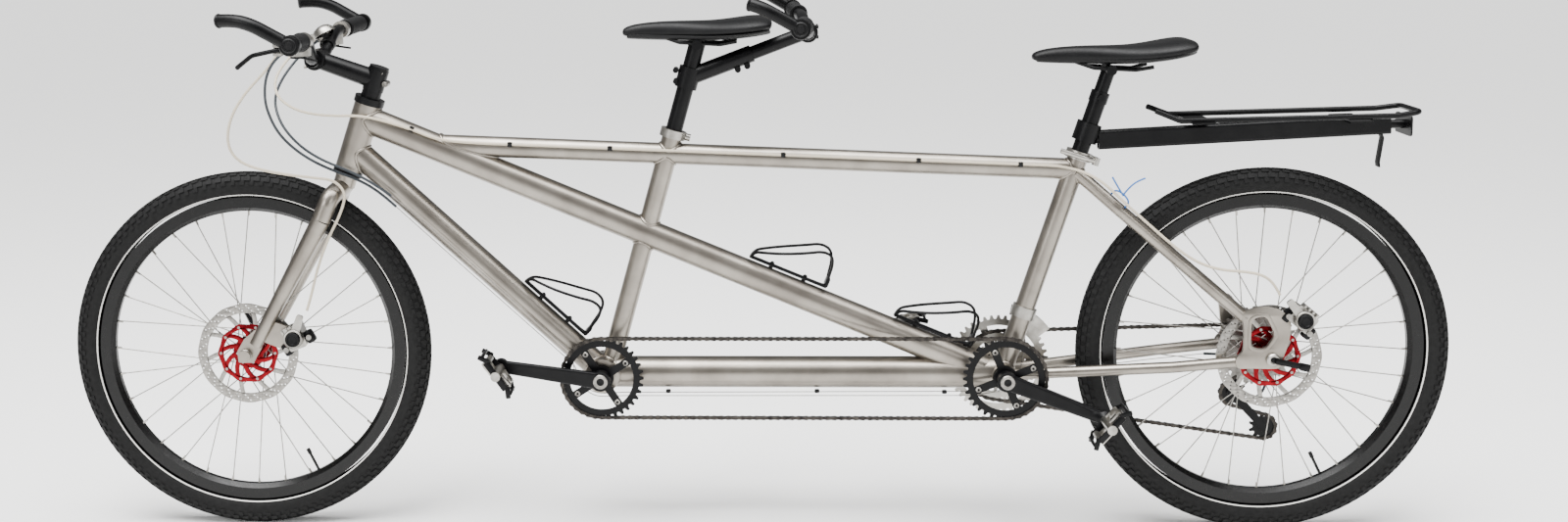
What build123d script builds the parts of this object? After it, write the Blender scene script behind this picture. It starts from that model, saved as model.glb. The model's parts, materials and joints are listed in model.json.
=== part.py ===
"""Tandem bicycle: welded aluminium frame, rigid fork, disc brakes, crossover timing chain and a seat post rack.

Millimetres. The bicycle points along -X, +Z is up and its left side is -Y. The origin is on the ground,
in the bicycle's middle plane, midway between the two axles.
"""

import math
import os

from build123d import *

os.makedirs("parts", exist_ok=True)

# ---- driving dimensions -------------------------------------------------------------------------------
wheelbase = 1830.0
tyre_radius = 329.5
tyre_width = 50.0
tyre_wall = 3.5
rim_outer_radius = 284.0
rim_inner_radius = 257.0
rim_width = 26.0
rim_wall = 2.6

bottom_bracket_height = 286.0
rear_bracket_to_axle = 460.1
chain_pitch = 12.7
timing_teeth = 36
boom_pitches = 57
middle_ring_teeth = 32
engaged_cog_teeth = 17

head_angle = 71.5
head_from_front_axle = (207.0, 392.5)
head_tube_length = 126.0
head_tube_radius = 25.0
steerer_radius = 14.3
captain_seat_angle = 74.5
stoker_seat_angle = 71.8
captain_seat_tube_length = 463.0
stoker_seat_tube_length = 425.0
seat_post_radius = 15.0

diagonal_tube_radius = 25.0
down_tube_radius = 23.5
boom_tube_radius = 28.5
top_tube_radius = 19.0
seat_tube_radius = 18.0
seat_stay_radius = 11.5
chain_stay_radius = 10.0
tube_wall = 2.0
front_shell_radius = 31.0
rear_shell_radius = 22.0
bracket_shell_width = 73.0
spindle_radius = 12.0

front_hub_width = 100.0
rear_hub_width = 145.0
dropout_thickness = 7.0
skewer_radius = 4.5
hub_clearance = 0.08
turning_clearance = 0.05
gap = 0.4

crank_length = 180.0
captain_crank_angle = 170.3
stoker_crank_angle = -20.3
timing_line = -49.0
drive_line = 48.0
rotor_radius = 92.5
rotor_thickness = 2.0
front_rotor_line = -40.0
rear_rotor_line = -53.0
spokes_per_wheel = 32
cog_teeth = (34, 30, 26, 23, 20, 17, 15, 13, 11)
cog_pitch = 4.35
ring_teeth = (22, 32, 44)
ring_pitch = 8.0

chain_half_gap = 1.25
chain_plate_thickness = 1.5
chain_plate_half_height = 4.2
roller_radius = 3.9
tooth_clear = 8.2

front_axle = Vector(-wheelbase / 2, 0, tyre_radius)
rear_axle = Vector(wheelbase / 2, 0, tyre_radius)
rear_bracket = Vector(rear_axle.X - rear_bracket_to_axle, 0, bottom_bracket_height)
front_bracket = rear_bracket - Vector(boom_pitches * chain_pitch, 0, 0)
upper_pulley = rear_axle + Vector(-35, drive_line, -94.5)
lower_pulley = rear_axle + Vector(22, drive_line, -157.5)
pulley_teeth = 11


# ---- helpers ------------------------------------------------------------------------------------------
def on_line(origin, angle, distance):
    """The point in the middle plane at a distance from origin along a line at an angle above +X."""
    turn = math.radians(angle)
    return origin + Vector(math.cos(turn), 0, math.sin(turn)) * distance


def side_plane(y):
    """The plane at Y = y whose sketch axes are +X and +Z. Its extrusions go towards -Y."""
    return Plane(origin=(0, y, 0), x_dir=(1, 0, 0), z_dir=(0, -1, 0))


def rod(start, end, radius, bore=0.0, end_radius=None):
    """A round bar or tube between two points, tapered if end_radius is given."""
    line = Vector(end) - Vector(start)
    with BuildPart() as body:
        with BuildSketch(Plane(origin=start, z_dir=line)):
            Circle(radius)
            if bore:
                Circle(bore, mode=Mode.SUBTRACT)
        if end_radius is None:
            extrude(amount=line.length)
        else:
            with BuildSketch(Plane(origin=end, z_dir=line)):
                Circle(end_radius)
            loft()
    return body.part


def bent_rod(points, radius, bends):
    """A round bar along straight runs joined by arcs."""
    with BuildPart() as body:
        with BuildLine() as path:
            FilletPolyline(*points, radius=bends)
        with BuildSketch(Plane(origin=path.line @ 0, z_dir=path.line % 0)):
            Circle(radius)
        sweep(path=path.line)
    return body.part


def washer(centre, y_from, y_to, radius, bore=0.0):
    """A disc or ring about the Y direction, between two Y positions."""
    low, high = min(y_from, y_to), max(y_from, y_to)
    with BuildPart() as body:
        with BuildSketch(side_plane(high)):
            with Locations((centre.X, centre.Z)):
                Circle(radius)
                if bore:
                    Circle(bore, mode=Mode.SUBTRACT)
        extrude(amount=high - low)
    return body.part


def plate(outline, y_outer, thickness, rounding=0.0, holes=()):
    """A flat plate parallel to the middle plane, from its (x, z) outline and round holes (x, z, radius)."""
    with BuildPart() as body:
        with BuildSketch(side_plane(y_outer)) as face:
            with BuildLine():
                Polyline(*outline, close=True)
            make_face()
            if rounding:
                fillet(face.vertices(), rounding)
            for x, z, radius in holes:
                with Locations((x, z)):
                    Circle(radius, mode=Mode.SUBTRACT)
        extrude(amount=thickness)
    return body.part


def turned(profile, centre):
    """A solid of revolution about the Y direction through centre, from an (y, r) outline."""
    with BuildPart() as body:
        with BuildSketch(Plane(origin=centre, x_dir=(0, 1, 0), z_dir=(1, 0, 0))):
            with BuildLine():
                Polyline(*profile, close=True)
            make_face()
        revolve(axis=Axis(centre, (0, 1, 0)))
    return body.part


def pitch_radius(teeth):
    """The radius of a sprocket's pitch circle."""
    return chain_pitch / (2 * math.sin(math.pi / teeth))


def sprocket(centre, y_middle, teeth, thickness, bore, phase=0.0):
    """A toothed disc whose teeth fit between the chain's plates."""
    root = pitch_radius(teeth) - 3.6
    tip = pitch_radius(teeth) + 3.4
    step = 360 / teeth
    outline = []
    for tooth in range(teeth):
        for share, radius in ((-0.34, root), (-0.14, tip), (0.14, tip), (0.34, root)):
            turn = math.radians(phase + (tooth + share) * step)
            outline.append((centre.X + radius * math.cos(turn), centre.Z + radius * math.sin(turn)))
    return plate(outline, y_middle + thickness / 2, thickness, holes=[(centre.X, centre.Z, bore)])


def joined(*parts):
    """One solid from parts that touch or overlap."""
    with BuildPart() as body:
        for part in parts:
            add(part)
    return body.part


def without(part, *cutters):
    """The part with the cutters' space removed."""
    with BuildPart() as body:
        add(part)
        for cutter in cutters:
            add(cutter, mode=Mode.SUBTRACT)
    return body.part


def largest(part):
    """The biggest solid of a part, without the offcuts inside its neighbours."""
    return Part(part.solids().sort_by(SortBy.VOLUME)[-1].wrapped)


def save(name, *parts):
    """Writes one node: its separate solids share the STEP file that carries its name."""
    solids = [solid for part in parts for solid in part.solids()]
    node = Compound(label=name, children=solids) if len(solids) > 1 else Part(solids[0].wrapped)
    node.label = name
    export_step(node, f"parts/{name}.step")
    return node


# ---- frame: shells and tubes --------------------------------------------------------------------------
head_centre = front_axle + Vector(head_from_front_axle[0], 0, head_from_front_axle[1])
head_top = on_line(head_centre, head_angle, head_tube_length / 2)
head_bottom = on_line(head_centre, head_angle, -head_tube_length / 2)
head_bore = head_tube_radius - 3.0
head_solid = rod(head_bottom, head_top, head_tube_radius)
head_tube = rod(head_bottom, head_top, head_tube_radius, head_bore)


def bracket_shell(centre, radius):
    """A bottom bracket shell as a plain cylinder."""
    return washer(centre, -bracket_shell_width / 2, bracket_shell_width / 2, radius)


cup_radius = 17.0
cup_flange = 2.0
front_shell_solid = bracket_shell(front_bracket, front_shell_radius)
rear_shell_solid = bracket_shell(rear_bracket, rear_shell_radius)
front_shell = without(front_shell_solid, bracket_shell(front_bracket, cup_radius))
rear_shell = without(rear_shell_solid, bracket_shell(rear_bracket, cup_radius))

captain_tube_foot = front_bracket + Vector(10, 0, 0)
captain_tube_top = on_line(captain_tube_foot, captain_seat_angle, captain_seat_tube_length)
stoker_tube_top = on_line(rear_bracket, stoker_seat_angle, stoker_seat_tube_length)
seat_tube_bore = seat_post_radius + turning_clearance
captain_tube_solid = rod(captain_tube_foot, captain_tube_top, seat_tube_radius)
stoker_tube_solid = rod(rear_bracket, stoker_tube_top, seat_tube_radius)
captain_tube = without(
    rod(captain_tube_foot, captain_tube_top, seat_tube_radius, seat_tube_bore), front_shell_solid
)
stoker_tube = without(rod(rear_bracket, stoker_tube_top, seat_tube_radius, seat_tube_bore), rear_shell_solid)

boom_lip = 10.0
boom_start = front_bracket
boom_end = rear_bracket - Vector(boom_lip, 0, 0)
boom_solid = rod(boom_start, boom_end, boom_tube_radius)
boom_tube = without(
    rod(boom_start, boom_end, boom_tube_radius, boom_tube_radius - tube_wall),
    front_shell_solid,
    rear_shell_solid,
    captain_tube_solid,
    stoker_tube_solid,
)

diagonal_start = on_line(head_centre, head_angle, 35.4)
diagonal_end = rear_bracket - Vector(0, 0, 8)
diagonal_solid = rod(diagonal_start, diagonal_end, diagonal_tube_radius)
diagonal_tube = without(
    rod(diagonal_start, diagonal_end, diagonal_tube_radius, diagonal_tube_radius - tube_wall),
    head_solid,
    rear_shell_solid,
    captain_tube_solid,
    stoker_tube_solid,
    boom_solid,
)

down_start = on_line(head_centre, head_angle, -25.0)
down_solid = rod(down_start, front_bracket, down_tube_radius)
down_tube = without(
    rod(down_start, front_bracket, down_tube_radius, down_tube_radius - tube_wall),
    head_solid,
    diagonal_solid,
    front_shell_solid,
    captain_tube_solid,
    boom_solid,
)

top_tube_start = on_line(diagonal_start, -22.5, 124.0) + Vector(0, 0, -1)
top_tube_end = on_line(rear_bracket, stoker_seat_angle, 391.0)
top_tube_solid = rod(top_tube_start, top_tube_end, top_tube_radius)
top_tube = without(
    rod(top_tube_start, top_tube_end, top_tube_radius, top_tube_radius - tube_wall),
    diagonal_solid,
    captain_tube_solid,
    stoker_tube_solid,
)

# ---- frame: stays and dropouts ------------------------------------------------------------------------
dropout_inner = rear_hub_width / 2
stay_spread = 68.5


def seat_stay(side):
    """One seat stay, bowed out round the tyre."""
    top = on_line(rear_bracket, stoker_seat_angle, 384.0) + Vector(8, side * 10, 0)
    shoulder = rear_axle + Vector(-268, side * 46, 264)
    foot = rear_axle + Vector(-46, side * stay_spread, 72)
    return without(bent_rod([top, shoulder, foot], seat_stay_radius, 60), stoker_tube_solid, top_tube_solid)


def chain_stay(side):
    """One chain stay, from the rear bracket shell to the dropout."""
    start = rear_bracket + Vector(0, side * 20, 0)
    shoulder = rear_axle + Vector(-170, side * (stay_spread - 5), -18)
    foot = rear_axle + Vector(-50, side * stay_spread, -6)
    stay = bent_rod([start, shoulder, foot], chain_stay_radius, 90)
    return without(stay, rear_shell_solid, stoker_tube_solid, boom_solid, diagonal_solid)


seat_stays = {side: seat_stay(side) for side in (-1, 1)}
seat_stays[1] = without(seat_stays[1], seat_stays[-1])
chain_stays = {side: chain_stay(side) for side in (-1, 1)}
chain_stays[1] = without(chain_stays[1], chain_stays[-1])


def axle_relative(points, centre):
    """Outline points given from an axle, as (x, z) in the bicycle's frame."""
    return [(centre.X + x, centre.Z + z) for x, z in points]


left_dropout_outline = [
    (-66, 92), (-14, 98), (16, 84), (36, 56), (24, 22), (15, -2), (12, -16), (-6, -16),
    (-22, -16), (-66, -18), (-66, 2), (-50, 12), (-52, 60),
]
right_dropout_outline = [
    (-60, 86), (-38, 86), (8, 16), (16, 0), (20, -40), (4, -42), (-8, -16), (-64, -18), (-64, 4), (-52, 12),
]
disc_window = [(-36, 74), (-12, 78), (2, 54), (-8, 26), (-32, 26), (-38, 46)]
axle_hole = skewer_radius + turning_clearance
left_dropout = without(
    plate(
        axle_relative(left_dropout_outline, rear_axle), -dropout_inner, dropout_thickness, 4.0,
        [(rear_axle.X, rear_axle.Z, axle_hole)],
    ),
    plate(axle_relative(disc_window, rear_axle), -dropout_inner + 1, dropout_thickness + 2, 5.0),
    seat_stays[-1],
    chain_stays[-1],
)
hanger_hole = rear_axle + Vector(10, 0, -29)
right_dropout = without(
    plate(
        axle_relative(right_dropout_outline, rear_axle), dropout_inner + dropout_thickness, dropout_thickness, 4.0,
        [(rear_axle.X, rear_axle.Z, axle_hole), (hanger_hole.X, hanger_hole.Z, 5.0)],
    ),
    seat_stays[1],
    chain_stays[1],
)

save("frame_shells", head_tube, front_shell, rear_shell, captain_tube, stoker_tube)
save("boom_tube", boom_tube)
save("diagonal_tube", largest(diagonal_tube))
save("down_tube", down_tube)
save("top_tube", top_tube)
save("rear_stays", *seat_stays.values(), *chain_stays.values())

# ---- bearings, collars --------------------------------------------------------------------------------
headset_height = 12.0
lower_stack = 9.0
cup_bore = steerer_radius + turning_clearance


def headset_ring(at_end, direction, height, radius):
    """A headset cup: a flange outside the head tube and a sleeve pressed inside it."""
    outer = on_line(at_end, head_angle, direction * height)
    inner = on_line(at_end, head_angle, -direction * 14)
    return joined(rod(at_end, outer, radius, cup_bore), rod(at_end, inner, head_bore, cup_bore))


def bracket_cup(centre, side):
    """A bottom bracket cup: a flange outside the shell and a sleeve inside it."""
    face = side * bracket_shell_width / 2
    bore = spindle_radius + turning_clearance
    return joined(
        washer(centre, face, face + side * cup_flange, 21.0, bore), washer(centre, face, face - side * 16, cup_radius, bore)
    )


save(
    "bearing_cups",
    headset_ring(head_top, 1, headset_height, 27.5),
    headset_ring(head_bottom, -1, lower_stack, 27.0),
    *(bracket_cup(centre, side) for centre in (front_bracket, rear_bracket) for side in (-1, 1)),
)


def seat_collar(top, angle, lug_length):
    """A split clamp round the top of a seat tube, with two bolt lugs behind it."""
    low = on_line(top, angle, -15)
    bore = seat_tube_radius + 0.01
    back = Vector(math.sin(math.radians(angle)), 0, -math.cos(math.radians(angle)))
    ring = rod(low, top, seat_tube_radius + 5.5, bore)
    middle = (low + top) * 0.5
    lugs = rod(middle + back * (seat_tube_radius + 3), middle + back * (seat_tube_radius + lug_length), 6.5)
    slot = plate(
        [
            ((low + back * s).X, (low + back * s).Z) if end == 0 else ((top + back * s).X, (top + back * s).Z)
            for end, s in ((0, 12), (0, 60), (1, 60), (1, 12))
        ],
        1.0,
        2.0,
    )
    return without(joined(ring, lugs), rod(low, top, bore), slot)


collar_back = Vector(math.sin(math.radians(stoker_seat_angle)), 0, -math.cos(math.radians(stoker_seat_angle)))
collar_middle = on_line(stoker_tube_top, stoker_seat_angle, -7.5)
release_pivot = collar_middle + collar_back * (seat_tube_radius + 10) + Vector(0, -24, 0)
release_skewer = rod(release_pivot + Vector(0, 6.4, 0), release_pivot + Vector(0, 44, 0), 3.0)
stoker_collar = without(
    seat_collar(stoker_tube_top, stoker_seat_angle, 16),
    rod(release_pivot + Vector(0, 10, 0), release_pivot + Vector(0, 44, 0), 3.02),
)
save("seat_collars", seat_collar(captain_tube_top, captain_seat_angle, 14), stoker_collar, release_skewer)

lever_forward = -collar_back
release_lever = joined(
    rod(release_pivot - on_line(Vector(0, 0, 0), stoker_seat_angle, 7),
        release_pivot + on_line(Vector(0, 0, 0), stoker_seat_angle, 7), 6.0),
    bent_rod(
        [release_pivot, release_pivot + lever_forward * 20 + Vector(0, -5, 0),
         release_pivot + lever_forward * 66 + Vector(0, -5, 0)],
        4.5, 20,
    ),
)
save("seat_release_lever", release_lever)

# ---- wheels -------------------------------------------------------------------------------------------
front_hub = {"centre": front_axle, "width": front_hub_width, "flanges": (-25.0, 30.0), "rotor": front_rotor_line}
rear_hub = {"centre": rear_axle, "width": rear_hub_width, "flanges": (-34.0, 16.0), "rotor": rear_rotor_line}
axle_radius = 8.0
hub_core_radius = 16.0
flange_radius = 29.5
flange_thickness = 3.0
spoke_radius = 1.0
spoke_circle = 26.5
spoke_lift = 1.5
locknut_length = 5.0
cassette_start = 20.0


def tyre(centre):
    """A tyre: a hollow round section, open at the beads."""
    outer, half = tyre_radius, tyre_width / 2
    middle = outer - half
    bead = math.sqrt(half**2 - (rim_width / 2) ** 2)
    with BuildPart() as body:
        with BuildSketch(Plane(origin=centre, x_dir=(0, 1, 0), z_dir=(1, 0, 0))):
            with Locations((0, middle)):
                Circle(half)
                Circle(half - tyre_wall, mode=Mode.SUBTRACT)
            with Locations((0, middle - bead - half / 2)):
                Rectangle(tyre_width, half, mode=Mode.SUBTRACT)
        revolve(axis=Axis(centre, (0, 1, 0)))
    return body.part


def rim(centre):
    """A double wall rim with its two braking height side walls and a hollow between its walls."""
    half = rim_width / 2
    well = rim_inner_radius + 15
    crown = tyre_radius - tyre_width / 2 - math.sqrt((tyre_width / 2) ** 2 - half**2)
    outer = turned(
        [(-half, crown), (-half, rim_inner_radius + 7), (-5, rim_inner_radius), (5, rim_inner_radius),
         (half, rim_inner_radius + 7), (half, crown), (half - rim_wall, crown), (half - rim_wall, well),
         (rim_wall - half, well), (rim_wall - half, crown)],
        centre,
    )
    inner = turned(
        [(rim_wall - half, well - rim_wall), (rim_wall - half, rim_inner_radius + 9),
         (-4, rim_inner_radius + rim_wall), (4, rim_inner_radius + rim_wall),
         (half - rim_wall, rim_inner_radius + 9), (half - rim_wall, well - rim_wall)],
        centre,
    )
    return without(outer, inner)


def spokes(hub):
    """Crossed spokes from both flanges to the rim, with their heads alternately outside and inside."""
    count = spokes_per_wheel // 2
    step = 360 / count
    cross = 3 * step
    bars = []
    for side, flange in zip((-1, 1), hub["flanges"]):
        for index in range(count):
            leading = index % 2 == 0
            at_hub = math.radians(index * step + (0 if side < 0 else step / 2))
            at_rim = at_hub + math.radians(cross if leading else -cross)
            head = side * (flange_thickness / 2 + spoke_radius + spoke_lift) * (1 if leading else -1)
            start = hub["centre"] + Vector(
                spoke_circle * math.cos(at_hub), flange + head, spoke_circle * math.sin(at_hub)
            )
            end = hub["centre"] + Vector(
                (rim_inner_radius - 0.4) * math.cos(at_rim), side * 2.5, (rim_inner_radius - 0.4) * math.sin(at_rim)
            )
            bars.append(rod(start, end, spoke_radius))
    return bars


def hub_shell(hub, far_side):
    """A hub shell: two flanges, a waist and a disc seat, bored for the axle."""
    left, right = hub["flanges"]
    half, seat = flange_thickness / 2, hub["rotor"] + rotor_thickness / 2 + 1.5
    bore = axle_radius + hub_clearance
    return turned(
        [(seat, bore), (seat, 22), (left - half, 22), (left - half, flange_radius), (left + half, flange_radius),
         (left + half, 20), (left + half + 6, hub_core_radius), (right - half - 6, hub_core_radius),
         (right - half, 20), (right - half, flange_radius), (right + half, flange_radius), (right + half, 18),
         (far_side, 18), (far_side, bore)],
        hub["centre"],
    )


def rotor(hub):
    """A brake disc: a slotted braking band on six arms round the hub's disc seat."""
    centre, middle = hub["centre"], hub["rotor"]
    with BuildPart() as body:
        with BuildSketch(side_plane(middle + rotor_thickness / 2)):
            with Locations((centre.X, centre.Z)):
                Circle(rotor_radius)
                Circle(rotor_radius - 16, mode=Mode.SUBTRACT)
                Circle(30)
                Circle(axle_radius + 4, mode=Mode.SUBTRACT)
                with PolarLocations(53, 6):
                    Rectangle(56, 8)
                with PolarLocations(22, 6):
                    Circle(2.6, mode=Mode.SUBTRACT)
                with PolarLocations(rotor_radius - 8, 24):
                    Circle(3.2, mode=Mode.SUBTRACT)
        extrude(amount=rotor_thickness)
    return body.part


def rotor_carrier(hub):
    """The spacer that carries the brake disc on the hub's disc seat."""
    back = hub["rotor"] + rotor_thickness / 2
    return washer(hub["centre"], back, back + 1.5, 28, axle_radius + 4)


def axle_assembly(hub, dropout):
    """A fixed axle with its locknuts, skewer and end nuts, through the two dropouts."""
    centre, half = hub["centre"], hub["width"] / 2
    end = half + dropout
    return joined(
        washer(centre, -half, half, axle_radius),
        washer(centre, -half, locknut_length - half, 12),
        washer(centre, half - locknut_length, half, 12),
        washer(centre, -end - 12, end + 12, skewer_radius),
        washer(centre, -end - 12, -end, 11),
        washer(centre, end, end + 12, 11),
    )


for name, hub, far_side in (("front", front_hub, 43.0), ("rear", rear_hub, cassette_start - gap)):
    save(f"{name}_tyre", tyre(hub["centre"]))
    save(f"{name}_rim", rim(hub["centre"]))
    save(f"{name}_spokes", *spokes(hub))
    save(f"{name}_hub", hub_shell(hub, far_side), rotor_carrier(hub))
    save(f"{name}_rotor", rotor(hub))

save("dropouts", left_dropout, right_dropout, axle_assembly(rear_hub, dropout_thickness))

# ---- cassette -----------------------------------------------------------------------------------------
engaged = cog_teeth.index(engaged_cog_teeth)
cog_places = [drive_line + (index - engaged) * cog_pitch for index in range(len(cog_teeth))]
cog_thickness = 2.0
carrier_radius = 17.0
cassette_bore = axle_radius + hub_clearance
cassette = joined(
    washer(rear_axle, cassette_start, cog_places[-1] + 2, carrier_radius, cassette_bore),
    *(sprocket(rear_axle, y, teeth, cog_thickness, cassette_bore) for y, teeth in zip(cog_places, cog_teeth)),
)
save("cassette", cassette)

# ---- chains -------------------------------------------------------------------------------------------


def loop_run(first, second, offset):
    """The straight stretch between two wrapped circles (centre, radius, turn), shifted outwards by offset."""
    (a, a_radius, a_turn), (b, b_radius, b_turn) = first, second
    from_radius, to_radius = a_turn * a_radius + offset, b_turn * b_radius + offset
    across, up = b.X - a.X, b.Z - a.Z
    angle = math.atan2(up, across) + math.asin((from_radius - to_radius) / math.hypot(across, up))
    right = (math.sin(angle), -math.cos(angle))
    start = (a.X + from_radius * right[0], a.Z + from_radius * right[1])
    end = (b.X + to_radius * right[0], b.Z + to_radius * right[1])
    return start, end


def loop_line(circles, offset):
    """The closed line of a chain loop round its circles, as runs and arcs."""
    runs = [loop_run(circles[i], circles[(i + 1) % len(circles)], offset) for i in range(len(circles))]
    with BuildLine() as outline:
        for index, (start, end) in enumerate(runs):
            centre, radius, turn = circles[index]
            arrive = runs[index - 1][1]
            begin = math.atan2(arrive[1] - centre.Z, arrive[0] - centre.X)
            finish = math.atan2(start[1] - centre.Z, start[0] - centre.X)
            wrapped = (finish - begin) * turn % (2 * math.pi)
            middle = begin + turn * wrapped / 2
            reach = radius + turn * offset
            halfway = (centre.X + reach * math.cos(middle), centre.Z + reach * math.sin(middle))
            ThreePointArc(arrive, halfway, start)
            Line(start, end)
    return outline.line


def chain_plate(circles, y_inner, y_outer):
    """One continuous side plate of a chain loop."""
    with BuildPart() as body:
        with BuildSketch(side_plane(max(y_inner, y_outer))):
            with BuildLine():
                add(loop_line(circles, chain_plate_half_height))
            make_face()
            with BuildLine():
                add(loop_line(circles, -chain_plate_half_height))
            make_face(mode=Mode.SUBTRACT)
        extrude(amount=chain_plate_thickness)
    return body.part


def chain(circles, y_middle):
    """A roller chain: two side plates round the whole loop, with rollers along its straight stretches."""
    plates = []
    for side in (-1, 1):
        y_inner = y_middle + side * chain_half_gap
        plates.append(chain_plate(circles, y_inner, y_inner + side * chain_plate_thickness))
    rollers = []
    for index, first in enumerate(circles):
        second = circles[(index + 1) % len(circles)]
        start, end = loop_run(first, second, 0)
        length = math.dist(start, end)
        clears = [math.sqrt((circle[1] + tooth_clear) ** 2 - circle[1] ** 2) for circle in (first, second)]
        spare = length - sum(clears)
        count = int(spare // chain_pitch)
        margin = clears[0] + (spare - count * chain_pitch) / 2
        for number in range(count + 1 if spare > 0 else 0):
            share = (margin + number * chain_pitch) / length
            at = Vector(start[0] + (end[0] - start[0]) * share, 0, start[1] + (end[1] - start[1]) * share)
            rollers.append(washer(at, y_middle - chain_half_gap, y_middle + chain_half_gap, roller_radius))
    return joined(*plates, *rollers)


timing_radius = pitch_radius(timing_teeth)
timing_circles = [(front_bracket, timing_radius, 1), (rear_bracket, timing_radius, 1)]
drive_circles = [
    (rear_bracket, pitch_radius(middle_ring_teeth), 1),
    (lower_pulley, pitch_radius(pulley_teeth), 1),
    (upper_pulley, pitch_radius(pulley_teeth), -1),
    (rear_axle, pitch_radius(engaged_cog_teeth), 1),
]
save("timing_chain", chain(timing_circles, timing_line))
save("drive_chain", chain(drive_circles, drive_line))

# ---- cranksets and pedals -----------------------------------------------------------------------------
arm_root = 62.0
arm_end = 76.0
arm_thickness = 13.0
pedal_axle_length = 66.0
pedal_axle_radius = 4.5
spider_radius = 52.0


def crank_arm(centre, side, angle):
    """A crank arm, its bosses and its pedal axle."""
    tip = on_line(centre, angle, crank_length)
    root_y, end_y = side * (arm_root + arm_thickness / 2), side * (arm_end + arm_thickness / 2)
    direction = on_line(Vector(0, 0, 0), angle, 1)
    half = arm_thickness / 2
    with BuildPart() as arm:
        with BuildSketch(Plane(origin=centre + Vector(0, root_y, 0), x_dir=(0, 1, 0), z_dir=direction)):
            RectangleRounded(arm_thickness, 30, 4)
        with BuildSketch(Plane(origin=tip + Vector(0, end_y, 0), x_dir=(0, 1, 0), z_dir=direction)):
            RectangleRounded(arm_thickness, 22, 4)
        loft()
    return joined(
        arm.part,
        washer(centre, root_y - half, root_y + half, 18),
        washer(tip, end_y - half, end_y + half, 14),
        washer(tip, end_y + side * half, end_y + side * (half + 4), 7),
        washer(tip, end_y + side * (half + 4), end_y + side * (half + pedal_axle_length), pedal_axle_radius),
    )


def spindle_with_arms(centre, left_angle, right_angle):
    """A bottom bracket spindle and the two crank arms fixed to its ends."""
    return joined(
        washer(centre, -arm_root - 1, arm_root + 1, spindle_radius),
        crank_arm(centre, -1, left_angle),
        crank_arm(centre, 1, right_angle),
    )


def chainring(centre, y_middle, teeth, arm_turn):
    """A toothed ring on four spider arms, with a boss on the spindle."""
    hollow = pitch_radius(teeth) - 15
    bore = spindle_radius + 0.01
    with BuildPart() as body:
        add(sprocket(centre, y_middle, teeth, 2.0, hollow))
        with BuildSketch(side_plane(y_middle + 1)):
            with Locations((centre.X, centre.Z)):
                with PolarLocations((hollow + 2 + bore) / 2, 4, start_angle=arm_turn):
                    Rectangle(hollow + 4 - bore, 14)
                Circle(22)
                Circle(bore, mode=Mode.SUBTRACT)
        extrude(amount=2)
    return body.part


captain_ring = chainring(front_bracket, timing_line, timing_teeth, 33)
stoker_timing_ring = chainring(rear_bracket, timing_line, timing_teeth, 22)
ring_places = [drive_line + (index - 1) * ring_pitch for index in range(3)]
drive_rings = [chainring(rear_bracket, y, teeth, 22) for y, teeth in zip(ring_places, ring_teeth)]
spacers = [
    washer(rear_bracket, ring_places[0] + 1, ring_places[1] - 1, 20, spindle_radius + 0.01),
    washer(rear_bracket, ring_places[1] + 1, ring_places[2] - 1, 20, spindle_radius + 0.01),
    washer(rear_bracket, ring_places[2] + 1, arm_root, 16, spindle_radius + 0.01),
]
left_spacers = [
    washer(centre, timing_line - 1, -arm_root, 16, spindle_radius + 0.01) for centre in (front_bracket, rear_bracket)
]
save(
    "captain_crankset",
    spindle_with_arms(front_bracket, captain_crank_angle, captain_crank_angle + 180),
    captain_ring,
    left_spacers[0],
)
save(
    "stoker_crankset",
    spindle_with_arms(rear_bracket, stoker_crank_angle, stoker_crank_angle + 180),
    stoker_timing_ring,
    *drive_rings,
    *spacers,
    left_spacers[1],
)


def pedal(centre, side, angle):
    """A double sided pedal body with a platform cage, turning on its crank's axle."""
    tip = on_line(centre, angle, crank_length)
    inner = side * (arm_end + arm_thickness + 4 + gap)
    outer = inner + side * (pedal_axle_length - 4 - gap + 4)
    bore = pedal_axle_radius + turning_clearance
    barrel = washer(tip, inner, outer, 11)
    middle = (inner + outer) / 2
    with BuildPart() as cage:
        with BuildSketch(Plane(origin=tip + Vector(0, middle, 0), x_dir=(1, 0, 0), z_dir=(0, 0, 1))):
            RectangleRounded(88, 52, 10)
            with Locations((26, 0), (-26, 0)):
                RectangleRounded(20, 36, 6, mode=Mode.SUBTRACT)
        extrude(amount=6, both=True)
    bearing = washer(tip, inner, outer - side * 4, bore)
    return without(joined(barrel, cage.part), bearing)


for name, centre, angle in (
    ("captain", front_bracket, captain_crank_angle), ("stoker", rear_bracket, stoker_crank_angle)
):
    save(f"{name}_left_pedal", pedal(centre, -1, angle))
    save(f"{name}_right_pedal", pedal(centre, 1, angle + 180))

# ---- derailleurs --------------------------------------------------------------------------------------
cage_half_gap = 4.6
pulley_bolt_radius = 2.5
pulley_tooth = 2.0


def pulley(centre):
    """A toothed chain pulley on its bolt."""
    return sprocket(centre, drive_line, pulley_teeth, pulley_tooth, pulley_bolt_radius + turning_clearance)


def pulley_cage():
    """Two cage plates joined by the two pulley bolts."""
    angle = math.atan2(lower_pulley.Z - upper_pulley.Z, lower_pulley.X - upper_pulley.X)
    along = Vector(math.cos(angle), 0, math.sin(angle))
    across = Vector(-along.Z, 0, along.X)
    outline = [
        upper_pulley - along * 11 + across * 8, upper_pulley - along * 11 - across * 8,
        lower_pulley + along * 11 - across * 7, lower_pulley + along * 11 + across * 7,
    ]
    corners = [(point.X, point.Z) for point in outline]
    inner = plate(corners, drive_line - cage_half_gap, 2.0, 6)
    outer = plate(corners, drive_line + cage_half_gap + 2.0, 2.0, 6)
    bolts = [
        washer(at, drive_line - cage_half_gap - 2, drive_line + cage_half_gap + 2, pulley_bolt_radius)
        for at in (upper_pulley, lower_pulley)
    ]
    return joined(inner, outer, *bolts)


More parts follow.
